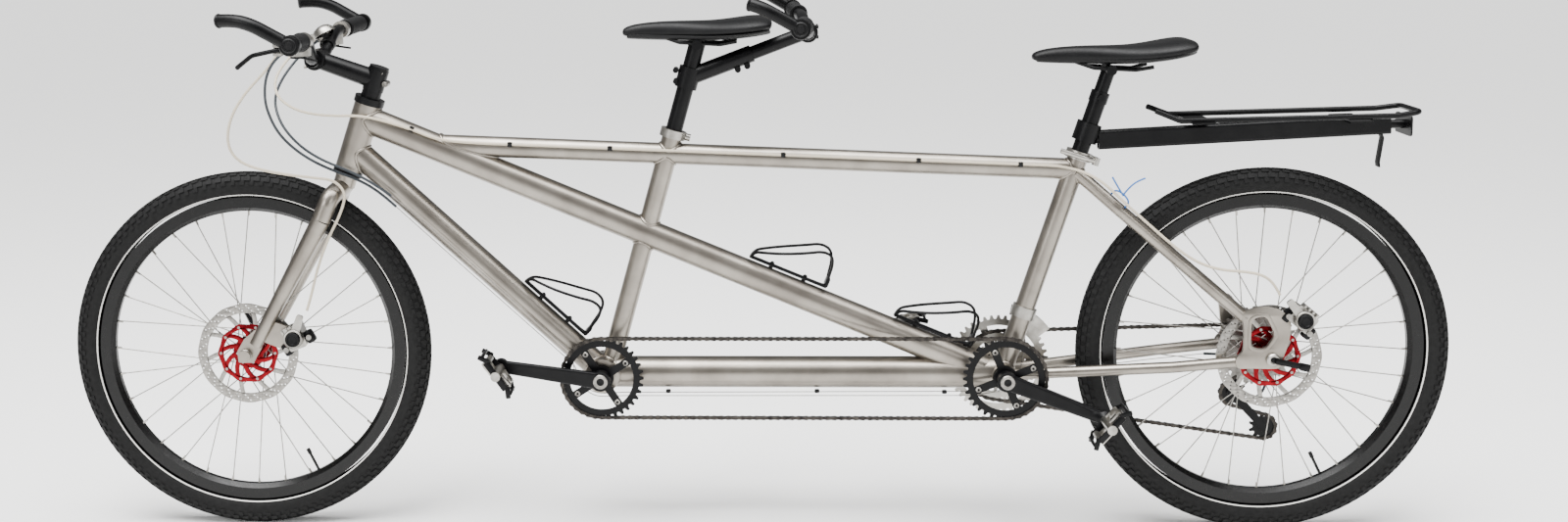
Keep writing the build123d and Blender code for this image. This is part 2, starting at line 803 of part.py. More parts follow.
hanger_bolt = washer(hanger_hole, dropout_inner - 1, dropout_inner + dropout_thickness + 14, 4.99)
knuckle = without(
    washer(hanger_hole, dropout_inner + dropout_thickness, dropout_inner + dropout_thickness + 14, 12),
    washer(hanger_hole, dropout_inner, dropout_inner + dropout_thickness + 20, 4.99),
)
link_end = upper_pulley + Vector(6, 22, 6)
link_start = Vector(hanger_hole.X - 6, dropout_inner + dropout_thickness + 13, hanger_hole.Z - 12)
derailleur_link = without(
    joined(rod(link_start, link_end, 9), washer(upper_pulley, drive_line + cage_half_gap + 2, drive_line + 30, 12)),
    washer(hanger_hole, dropout_inner, dropout_inner + 40, 12),
)
save("rear_derailleur", hanger_bolt, knuckle, derailleur_link, pulley_cage())
save("upper_pulley", pulley(upper_pulley))
save("lower_pulley", pulley(lower_pulley))

band_at = on_line(rear_bracket, stoker_seat_angle, 118)
band_low = on_line(rear_bracket, stoker_seat_angle, 108)
band_high = on_line(rear_bracket, stoker_seat_angle, 128)
cage_low = pitch_radius(ring_teeth[2]) + 6
cage_high = cage_low + 20
cage_inner_y, cage_outer_y, cage_wall = drive_line - 7.0, drive_line + 11.1, 1.5


def arc_points(centre, radius, first, last, steps=4):
    """Points (x, z) along an arc about a centre."""
    turns = [math.radians(first + (last - first) * step / steps) for step in range(steps + 1)]
    return [(centre.X + radius * math.cos(turn), centre.Z + radius * math.sin(turn)) for turn in turns]




def cage_sector(low, first, last):
    """The outline of a plate that follows the big ring, up to the cage's top."""
    return arc_points(rear_bracket, cage_high, first, last) + arc_points(rear_bracket, low, last, first)


cage_plates = [
    plate(cage_sector(cage_low - 16, 38, 78), cage_inner_y, cage_wall),
    plate(cage_sector(cage_low, 38, 78), cage_outer_y, cage_wall),
    plate(cage_sector(cage_high - 3, 44, 72), cage_outer_y, cage_outer_y - cage_inner_y + cage_wall),
]
cage_mount = on_line(rear_bracket, 58, cage_high - 8) + Vector(0, cage_inner_y - cage_wall, 0)
band_bore = rod(
    on_line(rear_bracket, stoker_seat_angle, 80), on_line(rear_bracket, stoker_seat_angle, 150),
    seat_tube_radius + 0.01,
)
band = without(joined(rod(band_low, band_high, seat_tube_radius + 4), rod(band_at, cage_mount, 6)), band_bore)
save("front_derailleur", joined(band, *cage_plates))

# ---- fork and front brake -----------------------------------------------------------------------------
stem_low, stem_high = 26.0, 66.0
steerer_foot = on_line(head_bottom, head_angle, -lower_stack - 2)
steerer_top = on_line(head_top, head_angle, stem_high - 3)
crown_centre = on_line(head_bottom, head_angle, -lower_stack - 22)
fork_leg_radius = 17.5
fork_foot_radius = 11.5
fork_spread = 60.0
fork_dropout_inner = front_hub_width / 2


def fork_leg(side):
    """One fork leg: a shoulder bent out from the crown and a tapered blade down to the dropout."""
    shoulder = Vector(crown_centre.X - 16, side * (fork_spread - 12), crown_centre.Z - 16)
    knee = Vector(crown_centre.X - 32, side * (fork_spread - 8), crown_centre.Z - 56)
    foot = front_axle + Vector(20, side * fork_spread, 20)
    bend = bent_rod([crown_centre, shoulder, knee], fork_leg_radius, 24)
    return joined(bend, rod(knee, foot, fork_leg_radius, end_radius=fork_foot_radius))


fork_dropout_outline = [(-14, -14), (14, -14), (30, 14), (40, 40), (20, 48), (-2, 30), (-15, 8)]
disc_tab_outline = [(20, 30), (66, 12), (112, 22), (112, 40), (60, 60), (36, 66)]
axle_bore = [(front_axle.X, front_axle.Z, axle_hole)]


def fork_dropout(side, outline, holes):
    """A plate at one fork end."""
    outer = max(side * fork_dropout_inner, side * (fork_dropout_inner + dropout_thickness))
    return plate(axle_relative(outline, front_axle), outer, dropout_thickness, 4.0, holes)


crown_race = rod(steerer_foot, on_line(head_bottom, head_angle, -lower_stack - gap), 25)
fork = joined(
    rod(steerer_foot, steerer_top, steerer_radius),
    crown_race,
    rod(crown_centre, steerer_foot, 20),
    *(fork_leg(side) for side in (-1, 1)),
    *(fork_dropout(side, fork_dropout_outline, axle_bore) for side in (-1, 1)),
    fork_dropout(-1, disc_tab_outline, []),
)
fork = without(fork, washer(front_axle, -front_hub_width / 2, front_hub_width / 2, 26))
save("fork", fork, axle_assembly(front_hub, dropout_thickness))


def tilted_block(centre, angle, length, height, y_near, y_far):
    """A block whose length runs at an angle in the side view, between two Y positions."""
    low, high = min(y_near, y_far), max(y_near, y_far)
    turn = math.radians(angle)
    with BuildPart() as body:
        plane = Plane(origin=(centre.X, high, centre.Z), x_dir=(math.cos(turn), 0, math.sin(turn)), z_dir=(0, -1, 0))
        with BuildSketch(plane):
            RectangleRounded(length, height, 5)
        extrude(amount=high - low)
    return body.part


rotor_gap = 0.6


def caliper(centre, hub, angle, y_near, y_far):
    """A disc brake body with a slot for the rotor and a cable stop, and the pivot of its arm."""
    line = hub["rotor"]
    half_slot = rotor_thickness / 2 + rotor_gap
    slot = washer(hub["centre"], line - half_slot, line + half_slot, rotor_radius + 4)
    body = joined(
        tilted_block(centre, angle, 44, 34, y_near, y_far), washer(centre, y_near, y_near - 4, 13)
    )
    return without(body, slot, washer(centre, y_near, y_near - 9, 4 + turning_clearance))


def caliper_arm(centre, y_near, angle):
    """A brake caliper's lever arm, on the pin that pushes its pad."""
    tip = on_line(centre, angle, 40)
    start = y_near - 4 - gap
    turn = Plane(origin=((centre.X + tip.X) / 2, 0, (centre.Z + tip.Z) / 2), x_dir=(tip - centre).normalized(),
                 z_dir=(0, -1, 0))
    flat = plate(
        [((centre + d).X, (centre + d).Z) for d in (
            turn.x_dir * -8 + turn.y_dir * 9, turn.x_dir * -8 - turn.y_dir * 9,
            turn.x_dir * 46 - turn.y_dir * 6, turn.x_dir * 46 + turn.y_dir * 6)],
        start, 5, 4,
    )
    return joined(flat, washer(centre, start + 4, start, 4))


front_caliper_at = front_axle + Vector(92, 0, 34)
rear_caliper_at = rear_axle + Vector(50, 0, 72)
front_near, front_far = -fork_dropout_inner - dropout_thickness - 8, front_rotor_line + 8
rear_near, rear_far = -dropout_inner - dropout_thickness - 3, rear_rotor_line + 8
save("front_caliper", without(caliper(front_caliper_at, front_hub, 112, front_near, front_far), fork))
save("front_caliper_arm", caliper_arm(front_caliper_at, front_near, 72))
save("rear_caliper", without(caliper(rear_caliper_at, rear_hub, 140, rear_near, rear_far), left_dropout))
save("rear_caliper_arm", caliper_arm(rear_caliper_at, rear_near, 128))

# ---- stem, handlebar and controls ---------------------------------------------------------------------
bar_radius = 11.1
bar_clamp_radius = 12.7
grip_radius = 16.0
grip_length = 118.0
bar_end_y = 292.0
bar_clamp_at = Vector(-779.0, 0, 863.0)
bar_rise = Vector(8.0, 0, 42.0)
bar_sweep = Vector(23.0, 0, 47.0)


def handlebar(clamp_at, rise, sweep):
    """A riser handlebar, thicker at its clamp."""
    half = [clamp_at + Vector(0, 42, 0), clamp_at + rise + Vector(0, 105, 0), clamp_at + sweep + Vector(0, bar_end_y, 0)]
    mirrored = [Vector(point.X, -point.Y, point.Z) for point in reversed(half)]
    bar = bent_rod([*mirrored, *half], bar_radius, 45)
    return joined(bar, washer(clamp_at, -30, 30, bar_clamp_radius))


def grip_ends(clamp_at, rise, sweep, side):
    """The two ends of one grip's length of a handlebar."""
    end = clamp_at + Vector(sweep.X, side * bar_end_y, sweep.Z)
    bend = clamp_at + Vector(rise.X, side * 105, rise.Z)
    return end + (bend - end).normalized() * grip_length, end


def bar_end(clamp_at, sweep, side, reach, tip):
    """A bar end: a clamp ring round the bar and a curved horn."""
    root = clamp_at + Vector(sweep.X, side * (bar_end_y - 9), sweep.Z)
    ring = rod(root - Vector(0, side * 8, 0), root + Vector(0, side * 9, 0), 17)
    elbow = root + reach
    return joined(ring, bent_rod([root + reach * 0.12, elbow, root + tip], 11.5, 22))


front_bar = handlebar(bar_clamp_at, bar_rise, bar_sweep)
front_ends = [
    without(bar_end(bar_clamp_at, bar_sweep, side, Vector(-74, side * 6, 42), Vector(-122, side * -8, 42)), front_bar)
    for side in (-1, 1)
]
front_grip_ends = {side: grip_ends(bar_clamp_at, bar_rise, bar_sweep, side) for side in (-1, 1)}
front_grips = []
for side, (inner_end, outer_end) in front_grip_ends.items():
    direction = (inner_end - outer_end).normalized()
    start = outer_end + direction * 19
    front_grips.append(without(rod(start, inner_end, grip_radius), front_bar, front_ends[0], front_ends[1]))

stem_clamp_low = on_line(head_top, head_angle, stem_low)
stem_clamp_high = on_line(head_top, head_angle, stem_high)
stem_clamp_middle = (stem_clamp_low + stem_clamp_high) * 0.5
headset_top = on_line(head_top, head_angle, headset_height + gap)
stem = joined(
    rod(stem_clamp_low, stem_clamp_high, 19),
    rod(stem_clamp_middle, bar_clamp_at, 18, end_radius=16),
    washer(bar_clamp_at, -24, 24, 18.5),
    rod(stem_clamp_middle + Vector(16, -10, 10), stem_clamp_middle + Vector(16, 10, 10), 5),
)
stem = without(stem, front_bar, rod(headset_top, steerer_top, steerer_radius))
spacer = rod(headset_top, stem_clamp_low, 18, steerer_radius + 0.01)
top_cap = without(rod(steerer_top, on_line(head_top, head_angle, stem_high + 5), 18), stem)
save("stem", stem, spacer, top_cap)
save("handlebar", front_bar, *front_ends)
save("captain_grips", *front_grips)

lever_y = 158.0
lever_pivot_offset = Vector(-44, 0, -14)


def bar_point(clamp_at, rise, sweep, y):
    """The point on a handlebar's outer stretch at a Y position."""
    share = (abs(y) - 105) / (bar_end_y - 105)
    return clamp_at + Vector(rise.X + (sweep.X - rise.X) * share, y, rise.Z + (sweep.Z - rise.Z) * share)


def lever_housing(side):
    """A brake lever mount and shifter pod, clamped on the bar."""
    at = bar_point(bar_clamp_at, bar_rise, bar_sweep, side * (lever_y - 8))
    inward = Vector(0, -side, 0)
    pivot = at + lever_pivot_offset
    body = joined(
        rod(at - Vector(0, 9, 0), at + Vector(0, 9, 0), 16),
        rod(at, pivot, 8),
        rod(pivot - Vector(0, 0, 10), pivot + Vector(0, 0, 10), 9),
        rod(pivot, pivot + inward * 34 + Vector(-4, 0, 0), 8),
        rod(at + Vector(-14, -side * 22, -26), at + Vector(-14, -side * 22, -6), 22),
        rod(at + Vector(-10, -side * 12, -20), at, 8),
    )
    slot = rod(pivot - Vector(0, 0, 5.4), pivot + Vector(0, 0, 4.8), 30)
    pin = rod(pivot - Vector(0, 0, 9), pivot + Vector(0, 0, 9), 3)
    keep = rod(at - Vector(0, 30, 0), at + Vector(0, 30, 0), 22)
    return joined(without(body, without(slot, keep)), pin), pivot, at


def brake_lever(side, pivot):
    """A brake lever blade that turns on its housing's pin."""
    root = rod(pivot - Vector(0, 0, 4), pivot + Vector(0, 0, 4), 7, 3 + turning_clearance)
    blade = bent_rod(
        [pivot + Vector(0, side * 5, 0), pivot + Vector(-34, side * 42, -6), pivot + Vector(-40, side * 112, -20)],
        4.0, 30,
    )
    bore = rod(pivot - Vector(0, 0, 20), pivot + Vector(0, 0, 20), 3 + turning_clearance)
    return without(joined(root, blade), bore)


housings = []
for side, name in ((-1, "left"), (1, "right")):
    housing, pivot, at = lever_housing(side)
    housing = without(housing, front_bar)
    housings.append(housing)
    save(f"{name}_lever_housing", housing)
    save(f"{name}_brake_lever", brake_lever(side, pivot))
    shifter_axis = at + Vector(-14, -side * 22, 0)
    thumb = joined(
        rod(shifter_axis + Vector(0, 0, -26 - gap - 4), shifter_axis + Vector(0, 0, -26 - gap), 14),
        rod(shifter_axis + Vector(0, 0, -28 - gap), shifter_axis + Vector(34, side * 10, -34 - gap), 2.0),
    )
    save(f"{name}_shift_lever", thumb)

# ---- captain's seat post and saddle -------------------------------------------------------------------
captain_post_foot = on_line(captain_tube_top, captain_seat_angle, -150)
captain_post_head = on_line(captain_tube_top, captain_seat_angle, 160)


def saddle_clamp(head, rail_gap):
    """A seat post head: a cradle block across the post's top with its bolt."""
    return joined(
        washer(head, -rail_gap - 8, rail_gap + 8, 9),
        rod(head - Vector(0, 0, 6), head + Vector(0, 0, 6), 13),
    )


def saddle_rails(head, front, rear, height):
    """Two saddle rails clamped in the post's head."""
    rails = []
    for side in (-1, 1):
        rails.append(
            bent_rod(
                [head + Vector(front, side * 12, height), head + Vector(front * 0.5, side * 22, 4),
                 head + Vector(rear * 0.6, side * 22, 0), head + Vector(rear, side * 32, height - 8)],
                3.5, 14,
            )
        )
    return rails


def saddle(nose_tip, length, sections):
    """A saddle as one plain padded solid, from its cross sections (distance, width, height, top)."""
    with BuildPart() as body:
        for distance, width, height, top in sections:
            centre = nose_tip + Vector(distance * length, 0, top - height / 2)
            with BuildSketch(Plane(origin=centre, x_dir=(0, 1, 0), z_dir=(1, 0, 0))):
                Ellipse(width / 2, height / 2)
        loft(ruled=True)
    return body.part


saddle_sections = (
    (0.0, 30, 22, 8), (0.06, 42, 36, 19), (0.3, 54, 40, 22), (0.55, 92, 40, 20), (0.8, 150, 44, 22),
    (0.94, 152, 40, 20), (1.0, 120, 22, 12),
)
rail_height_at_saddle = 14.0
captain_head = joined(
    rod(captain_post_foot, captain_post_head, seat_post_radius, 12.5), saddle_clamp(captain_post_head, 22)
)
captain_rails = [
    without(rail, captain_head) for rail in saddle_rails(captain_post_head, -62, 70, rail_height_at_saddle)
]
save("captain_seat_post", captain_head, *captain_rails)
captain_nose = captain_post_head + Vector(-134, 0, 37)
captain_saddle = saddle(captain_nose, 268, saddle_sections)
save("captain_saddle", captain_saddle)

# ---- stoker's handlebar on its adjustable stem --------------------------------------------------------
stoker_stem_at = on_line(captain_tube_top, captain_seat_angle, 97)
stoker_stem_angle = 20.6
stem_tube_radius = 15.5
sliding_tube_radius = 12.5
outer_tube_end = on_line(stoker_stem_at, stoker_stem_angle, 122)
stoker_clamp_at = on_line(stoker_stem_at, stoker_stem_angle, 228)
sliding_start = on_line(stoker_stem_at, stoker_stem_angle, 38)
stoker_rise = Vector(-6.0, 0, 20.0)
stoker_sweep = Vector(-20.0, 0, 25.0)
clamp_low = on_line(stoker_stem_at, captain_seat_angle, -19)
clamp_high = on_line(stoker_stem_at, captain_seat_angle, 19)
stoker_stem = joined(
    rod(clamp_low, clamp_high, 20),
    rod(stoker_stem_at, outer_tube_end, stem_tube_radius),
    *(
        rod(
            on_line(stoker_stem_at, stoker_stem_angle, at) + Vector(3, -11, -18),
            on_line(stoker_stem_at, stoker_stem_angle, at) + Vector(3, 11, -18),
            5.5,
        )
        for at in (92, 110)
    ),
    *(rod(stoker_stem_at + Vector(-22, -11, z), stoker_stem_at + Vector(-22, 11, z), 5) for z in (-6, 14)),
)
stoker_stem = without(
    stoker_stem,
    rod(on_line(clamp_low, captain_seat_angle, -25), on_line(clamp_high, captain_seat_angle, 25), seat_post_radius),
    rod(on_line(stoker_stem_at, stoker_stem_angle, 24), outer_tube_end, sliding_tube_radius + turning_clearance),
)
save("stoker_stem", stoker_stem)
stoker_bar = handlebar(stoker_clamp_at, stoker_rise, stoker_sweep)
stoker_bar = joined(stoker_bar, rod(sliding_start, stoker_clamp_at, sliding_tube_radius),
                    washer(stoker_clamp_at, -24, 24, 18))
stoker_ends = [
    without(bar_end(stoker_clamp_at, stoker_sweep, side, Vector(-52, side * 5, 30), Vector(-84, side * -6, 42)), stoker_bar)
    for side in (-1, 1)
]
stoker_grips = []
for side in (-1, 1):
    inner_end, outer_end = grip_ends(stoker_clamp_at, stoker_rise, stoker_sweep, side)
    start = outer_end + (inner_end - outer_end).normalized() * 19
    stoker_grips.append(without(rod(start, inner_end, grip_radius), stoker_bar, *stoker_ends))
save("stoker_handlebar", stoker_bar, *stoker_ends)
save("stoker_grips", *stoker_grips)

# ---- stoker's seat post, suspension head and saddle ---------------------------------------------------
stoker_post_foot = on_line(stoker_tube_top, stoker_seat_angle, -130)
stoker_post_top = on_line(stoker_tube_top, stoker_seat_angle, 112)
suspension_foot = on_line(stoker_tube_top, stoker_seat_angle, 60)
suspension_head = on_line(stoker_tube_top, stoker_seat_angle, 154)
inner_post_radius = 12.5
post_cavity = rod(
    on_line(stoker_tube_top, stoker_seat_angle, 15), stoker_post_top, inner_post_radius + turning_clearance
)
lower_post = joined(
    rod(stoker_post_foot, stoker_post_top, seat_post_radius),
    rod(on_line(stoker_tube_top, stoker_seat_angle, 92), stoker_post_top, 16.5),
    rod(on_line(stoker_tube_top, stoker_seat_angle, 102) + Vector(0, -15, 0),
        on_line(stoker_tube_top, stoker_seat_angle, 102) + Vector(0, -24, 0), 6),
)
save("stoker_seat_post", without(lower_post, post_cavity))
upper_post = joined(rod(suspension_foot, suspension_head, inner_post_radius), saddle_clamp(suspension_head, 22))
stoker_rails = [without(rail, upper_post) for rail in saddle_rails(suspension_head, -60, 72, rail_height_at_saddle)]
save("suspension_post", upper_post, *stoker_rails)
stoker_nose = suspension_head + Vector(-136, 0, 38)
stoker_saddle = saddle(stoker_nose, 284, saddle_sections)
save("stoker_saddle", stoker_saddle)

# ---- seat post rack -----------------------------------------------------------------------------------
rack_at = on_line(stoker_tube_top, stoker_seat_angle, 36)
rack_start = rack_at + Vector(20, 0, -14)
rack_end = rack_at + Vector(528, 0, 12)
rack_direction = (rack_end - rack_start).normalized()
with BuildPart() as rack_beam:
    with BuildSketch(Plane(origin=rack_start, x_dir=(0, 1, 0), z_dir=rack_direction)):
        RectangleRounded(22, 34, 5)
        RectangleRounded(18, 30, 3, mode=Mode.SUBTRACT)
    extrude(amount=(rack_end - rack_start).length)
clamp_ring = rod(
    on_line(rack_at, stoker_seat_angle, -17), on_line(rack_at, stoker_seat_angle, 17), 22, seat_post_radius + 0.01
)
rack_spigot = without(
    rod(rack_at + Vector(17, 0, -12), rack_start + rack_direction * 20, 8.9),
    rod(on_line(rack_at, stoker_seat_angle, -30), on_line(rack_at, stoker_seat_angle, 30), 20),
)
rail_height = 757.0
rack_rail = bent_rod(
    [(712, -34, 765), (752, -52, rail_height - 8), (1120, -58, rail_height), (1162, -52, rail_height + 6),
     (1162, 52, rail_height + 6), (1120, 58, rail_height), (752, 52, rail_height - 8), (712, 34, 765)],
    5.0, 14,
)
cross_bars = [
    plate([(x - 20, 744), (x + 20, 745), (x + 20, 748), (x - 20, 747)], 62, 124) for x in (790, 1060)
]
tail_plate = joined(
    rod(rack_end - rack_direction * 8, rack_end + Vector(24, 0, 0), 8),
)
with BuildPart() as reflector_plate:
    with BuildSketch(Plane(origin=rack_end + Vector(24, 0, 0), x_dir=(0, 1, 0), z_dir=(1, 0, 0))):
        RectangleRounded(80, 36, 6)
        with Locations((-25, 0), (25, 0)):
            Circle(2.75, mode=Mode.SUBTRACT)
    extrude(amount=3)
rack = joined(rack_beam.part, clamp_ring, rack_spigot, *cross_bars)
rack_rail = without(rack_rail, rack)
save("rack", rack, rack_rail, tail_plate, reflector_plate.part)

# ---- bottle cages -------------------------------------------------------------------------------------
bottle_radius = 37.0
cage_wire = 3.0


def bottle_cage(start, end, share, tube_radius):
    """A wire bottle cage on top of a slanted tube: two hoops, a spine and a foot at its lower end."""
    along = (end - start).normalized()
    normal = Vector(-along.Z, 0, along.X)
    middle = start + (end - start) * share
    axis_at = middle + normal * (tube_radius + bottle_radius + 2 * cage_wire + 3)
    hoops = []
    for distance in (-42, 34):
        centre = axis_at + along * distance
        with BuildPart() as hoop:
            with BuildSketch(Plane(origin=centre, x_dir=normal, z_dir=along)):
                Circle(bottle_radius + 2 * cage_wire)
                Circle(bottle_radius + 0.5, mode=Mode.SUBTRACT)
            extrude(amount=cage_wire, both=True)
        hoops.append(hoop.part)
    spine_at = axis_at - normal * (bottle_radius + cage_wire + 3)
    spine = rod(spine_at - along * 70, spine_at + along * 70, cage_wire + 2.4)
    foot = rod(
        spine_at + along * 67, spine_at + along * 67 + normal * (bottle_radius + 18), cage_wire + 1
    )
    bosses = [
        rod(spine_at + along * d, spine_at + along * d - normal * (cage_wire + 5.5), 5) for d in (-32, 32)
    ]
    return joined(*hoops, spine, foot, *bosses)


cage_solids = [
    bottle_cage(down_start, front_bracket, 0.763, down_tube_radius),
    bottle_cage(diagonal_start, diagonal_end, 0.654, diagonal_tube_radius),
    bottle_cage(diagonal_start, diagonal_end, 0.88, diagonal_tube_radius),
]
tubes = (down_solid, diagonal_solid, captain_tube_solid, boom_solid)
save("bottle_cages", *(largest(without(cage, *tubes)) for cage in cage_solids))

# ---- cables -------------------------------------------------------------------------------------------
housing_radius = 2.5
bare_radius = 0.8
clip_wall = 1.7


def corner_radii(points):
    """The largest even arc at each corner of a route."""
    corners = [Vector(point) for point in points]
    radii = []
    for before, corner, after in zip(corners, corners[1:], corners[2:]):
        turn = math.radians((corner - before).get_angle(after - corner))
        shorter = min((corner - before).length, (after - corner).length)
        radii.append(0.45 * shorter / math.tan(turn / 2))
    return radii


def cable(points, radius, name):
    """A cable along a route of straight runs joined by arcs."""
    radii = corner_radii(points)
    with BuildPart() as body:
        with BuildLine() as path:
            FilletPolyline(*points, radius=radii)
        with BuildSketch(Plane(origin=path.line @ 0, z_dir=path.line % 0)):
            Circle(radius)
        sweep(path=path.line)
    length = sum(edge.length for edge in path.line.edges())
    share = body.part.volume / (math.pi * radius**2 * length)
    print(f"{name}: {length:.0f} mm long, tightest bend {min(radii):.0f} mm, volume over section x length {share:.4f}")
    return body.part


front_brake_route = [
    (-816, -113, 892), (-824, -92, 884), (-850, -80, 852), (-893, -84, 808), (-918, -92, 764), (-924, -92, 718),
    (-905, -88, 688), (-865, -80, 672), (-818, -69, 662), (-778, -58, 655), (-744, -50, 650), (-723, -50, 626),
    (-733, -54, 590), (-757, -56, 545), (-778, -58, 490), (-790, -61, 440), (-798, -66, 414),
]
rear_brake_crossing = [
    (-816, 113, 892), (-824, 92, 884), (-852, 62, 856), (-868, 30, 822), (-856, 5, 795), (-828, -14, 777),
    (-790, -24, 766), (-744, -31, 763), (-704, -32, 764), (-667, -29, 757), (-639, -26, 748),
]
left_shift_crossing = [
    (-806, -122, 887), (-826, -116, 874), (-846, -108, 842), (-852, -98, 800), (-848, -84, 769), (-838, -66, 737),
    (-818, -50, 709), (-788, -38, 684), (-751, -33, 665), (-704, -33, 648), (-665, -31, 624), (-638, -26, 597),
]
right_shift_crossing = [
    (-806, 122, 887), (-828, 108, 870), (-850, 84, 842), (-862, 52, 816), (-864, 18, 792), (-855, -10, 770),
    (-841, -26, 746), (-822, -34, 724), (-798, -38, 703), (-765, -39, 683), (-720, -38, 665), (-680, -36, 644),
    (-645, -33, 618),
]


def carry_on(route, distance):
    """The end of a route, and the point that carries its last run straight on."""
    before, end = Vector(route[-2]), Vector(route[-1])
    return [tuple(end), tuple(end + (end - before).normalized() * distance)]


rear_brake_route = [
    *carry_on(rear_brake_crossing, 34), (-564, -23, 719), (-500, -22, 712), (560, -22, 666), (612, -42, 649),
    (655, -62, 607), (700, -71, 566), (742, -79, 529), (780, -84, 503), (820, -87, 491), (860, -89, 489),
    (891, -89, 483), (911, -89, 467), (921, -89, 447),
]
left_shift_route = [
    *carry_on(left_shift_crossing, 40), (-318, -19, 300), (-312, -17, 268), (-282, -14, 247), (-240, -12, 250),
    (430, -8, 252), (466, -1, 255), (484, 5, 270), (492, 8, 302), (497, 16, 336), (500, 23, 364),
]
right_shift_route = [
    *carry_on(right_shift_crossing, 50), (-324, -26, 326), (-319, -24, 281), (-290, -20, 243), (-240, -17, 245),
    (400, -15, 246), (468, 9, 250), (520, 30, 275), (745, 64, 296), (832, 69, 303),
]
derailleur_loop = [
    (832, 69, 303), (864, 81, 299), (899, 100, 293), (934, 113, 281), (957, 114, 257), (957, 108, 230),
    (939, 101, 210), (916, 97, 206),
]
front_brake_cable = cable(front_brake_route, housing_radius, "front brake cable")
save("front_brake_cable", largest(without(front_brake_cable, fork, *housings)))
crossings = [
    cable(rear_brake_crossing, housing_radius, "rear brake cable ahead of the frame"),
    cable(left_shift_crossing, housing_radius, "left shift cable ahead of the frame"),
    cable(right_shift_crossing, housing_radius, "right shift cable ahead of the frame"),
]
save("steering_cables", *(largest(without(crossing, *housings)) for crossing in crossings))


def clip(point, direction, length, radius):
    """A round clip that holds a cable."""
    half = Vector(direction).normalized() * (length / 2)
    return rod(Vector(point) - half, Vector(point) + half, radius + clip_wall, radius + turning_clearance)


top_tube_run = (Vector(560, -22, 666) - Vector(-500, -22, 712)).normalized()
clips = [
    clip(Vector(-500, -22, 712) + top_tube_run * distance, top_tube_run, 9, housing_radius)
    for distance in (290, 506, 614, 986)
]
stay_top = on_line(rear_bracket, stoker_seat_angle, 384.0) + Vector(8, -10, 0)
stay_shoulder = rear_axle + Vector(-268, -46, 264)
stay_line = (stay_shoulder - stay_top).normalized()
tie_at = stay_shoulder - stay_line * 34
tie = joined(
    rod(tie_at - stay_line * 2.4, tie_at + stay_line * 2.4, seat_stay_radius + 1.6, seat_stay_radius + 0.1),
    rod(tie_at + Vector(4, -4, seat_stay_radius + 1), tie_at + Vector(24, -4, seat_stay_radius + 17), 1.2),
)
frame_cables = [
    cable(rear_brake_route, housing_radius, "rear brake cable on the frame"),
    cable(left_shift_route, bare_radius, "left shift cable on the frame"),
    cable(right_shift_route, bare_radius, "right shift cable on the frame"),
    cable(derailleur_loop, housing_radius, "rear derailleur cable loop"),
]
save("frame_cables", *frame_cables, *clips, tie)
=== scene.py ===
# %% [markdown]
# # The finishes of a tandem bicycle
#
# The bicycle is already built as solids: every tube, bearing, wheel and lever has its real size and place.
# This notebook gives those solids their finishes, and replaces the ones that need finer shapes, such as
# tyres with tread, chains with links, padded saddles and cables that bend smoothly.
# The bicycle points along -X, its left side is -Y, and everything is in metres.

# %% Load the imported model
import json
import math

import bmesh
import bpy
from mathutils import Matrix, Vector


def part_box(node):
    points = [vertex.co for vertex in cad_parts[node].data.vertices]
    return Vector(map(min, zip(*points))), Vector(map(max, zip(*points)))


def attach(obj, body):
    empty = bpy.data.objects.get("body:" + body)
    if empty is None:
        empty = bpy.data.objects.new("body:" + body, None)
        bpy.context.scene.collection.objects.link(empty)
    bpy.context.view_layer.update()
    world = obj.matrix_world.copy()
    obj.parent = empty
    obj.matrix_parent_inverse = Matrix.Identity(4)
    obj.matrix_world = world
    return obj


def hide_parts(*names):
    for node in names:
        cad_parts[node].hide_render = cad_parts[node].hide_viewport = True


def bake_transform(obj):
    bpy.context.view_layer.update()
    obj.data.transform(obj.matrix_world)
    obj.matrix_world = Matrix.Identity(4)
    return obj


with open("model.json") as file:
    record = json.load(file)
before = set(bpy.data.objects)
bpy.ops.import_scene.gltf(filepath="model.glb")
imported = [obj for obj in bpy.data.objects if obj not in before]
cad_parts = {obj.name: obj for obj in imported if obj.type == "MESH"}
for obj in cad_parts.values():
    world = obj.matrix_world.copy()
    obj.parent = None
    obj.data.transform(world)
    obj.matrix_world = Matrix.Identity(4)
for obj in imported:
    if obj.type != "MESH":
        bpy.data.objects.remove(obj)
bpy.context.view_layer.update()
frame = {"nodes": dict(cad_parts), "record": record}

MM = 0.001
joints = {joint["name"]: joint for joint in frame["record"]["behaviour"]["joints"]}


def pivot(joint_name):
    """The point that a joint turns about."""
    return Vector(joints[joint_name]["pos_m"])


def middle(node):
    """The centre of a node's box."""
    low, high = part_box(node)
    return (Vector(low) + Vector(high)) / 2


front_axle = pivot("front_wheel_spin")
rear_axle = pivot("rear_wheel_spin")
captain_bracket = pivot("captain_crank_turn")
stoker_bracket = pivot("stoker_crank_turn")

# %% [markdown]
# ## Camera and studio
#
# The bicycle is seen square from its left, from a little above, at about three metres. A camera with a
# vertical and a sideways shift keeps it level and near the centre, as a shift lens does.
# The floor is one pale sheet, and wide soft lights overhead give the tubes their long smooth highlights.

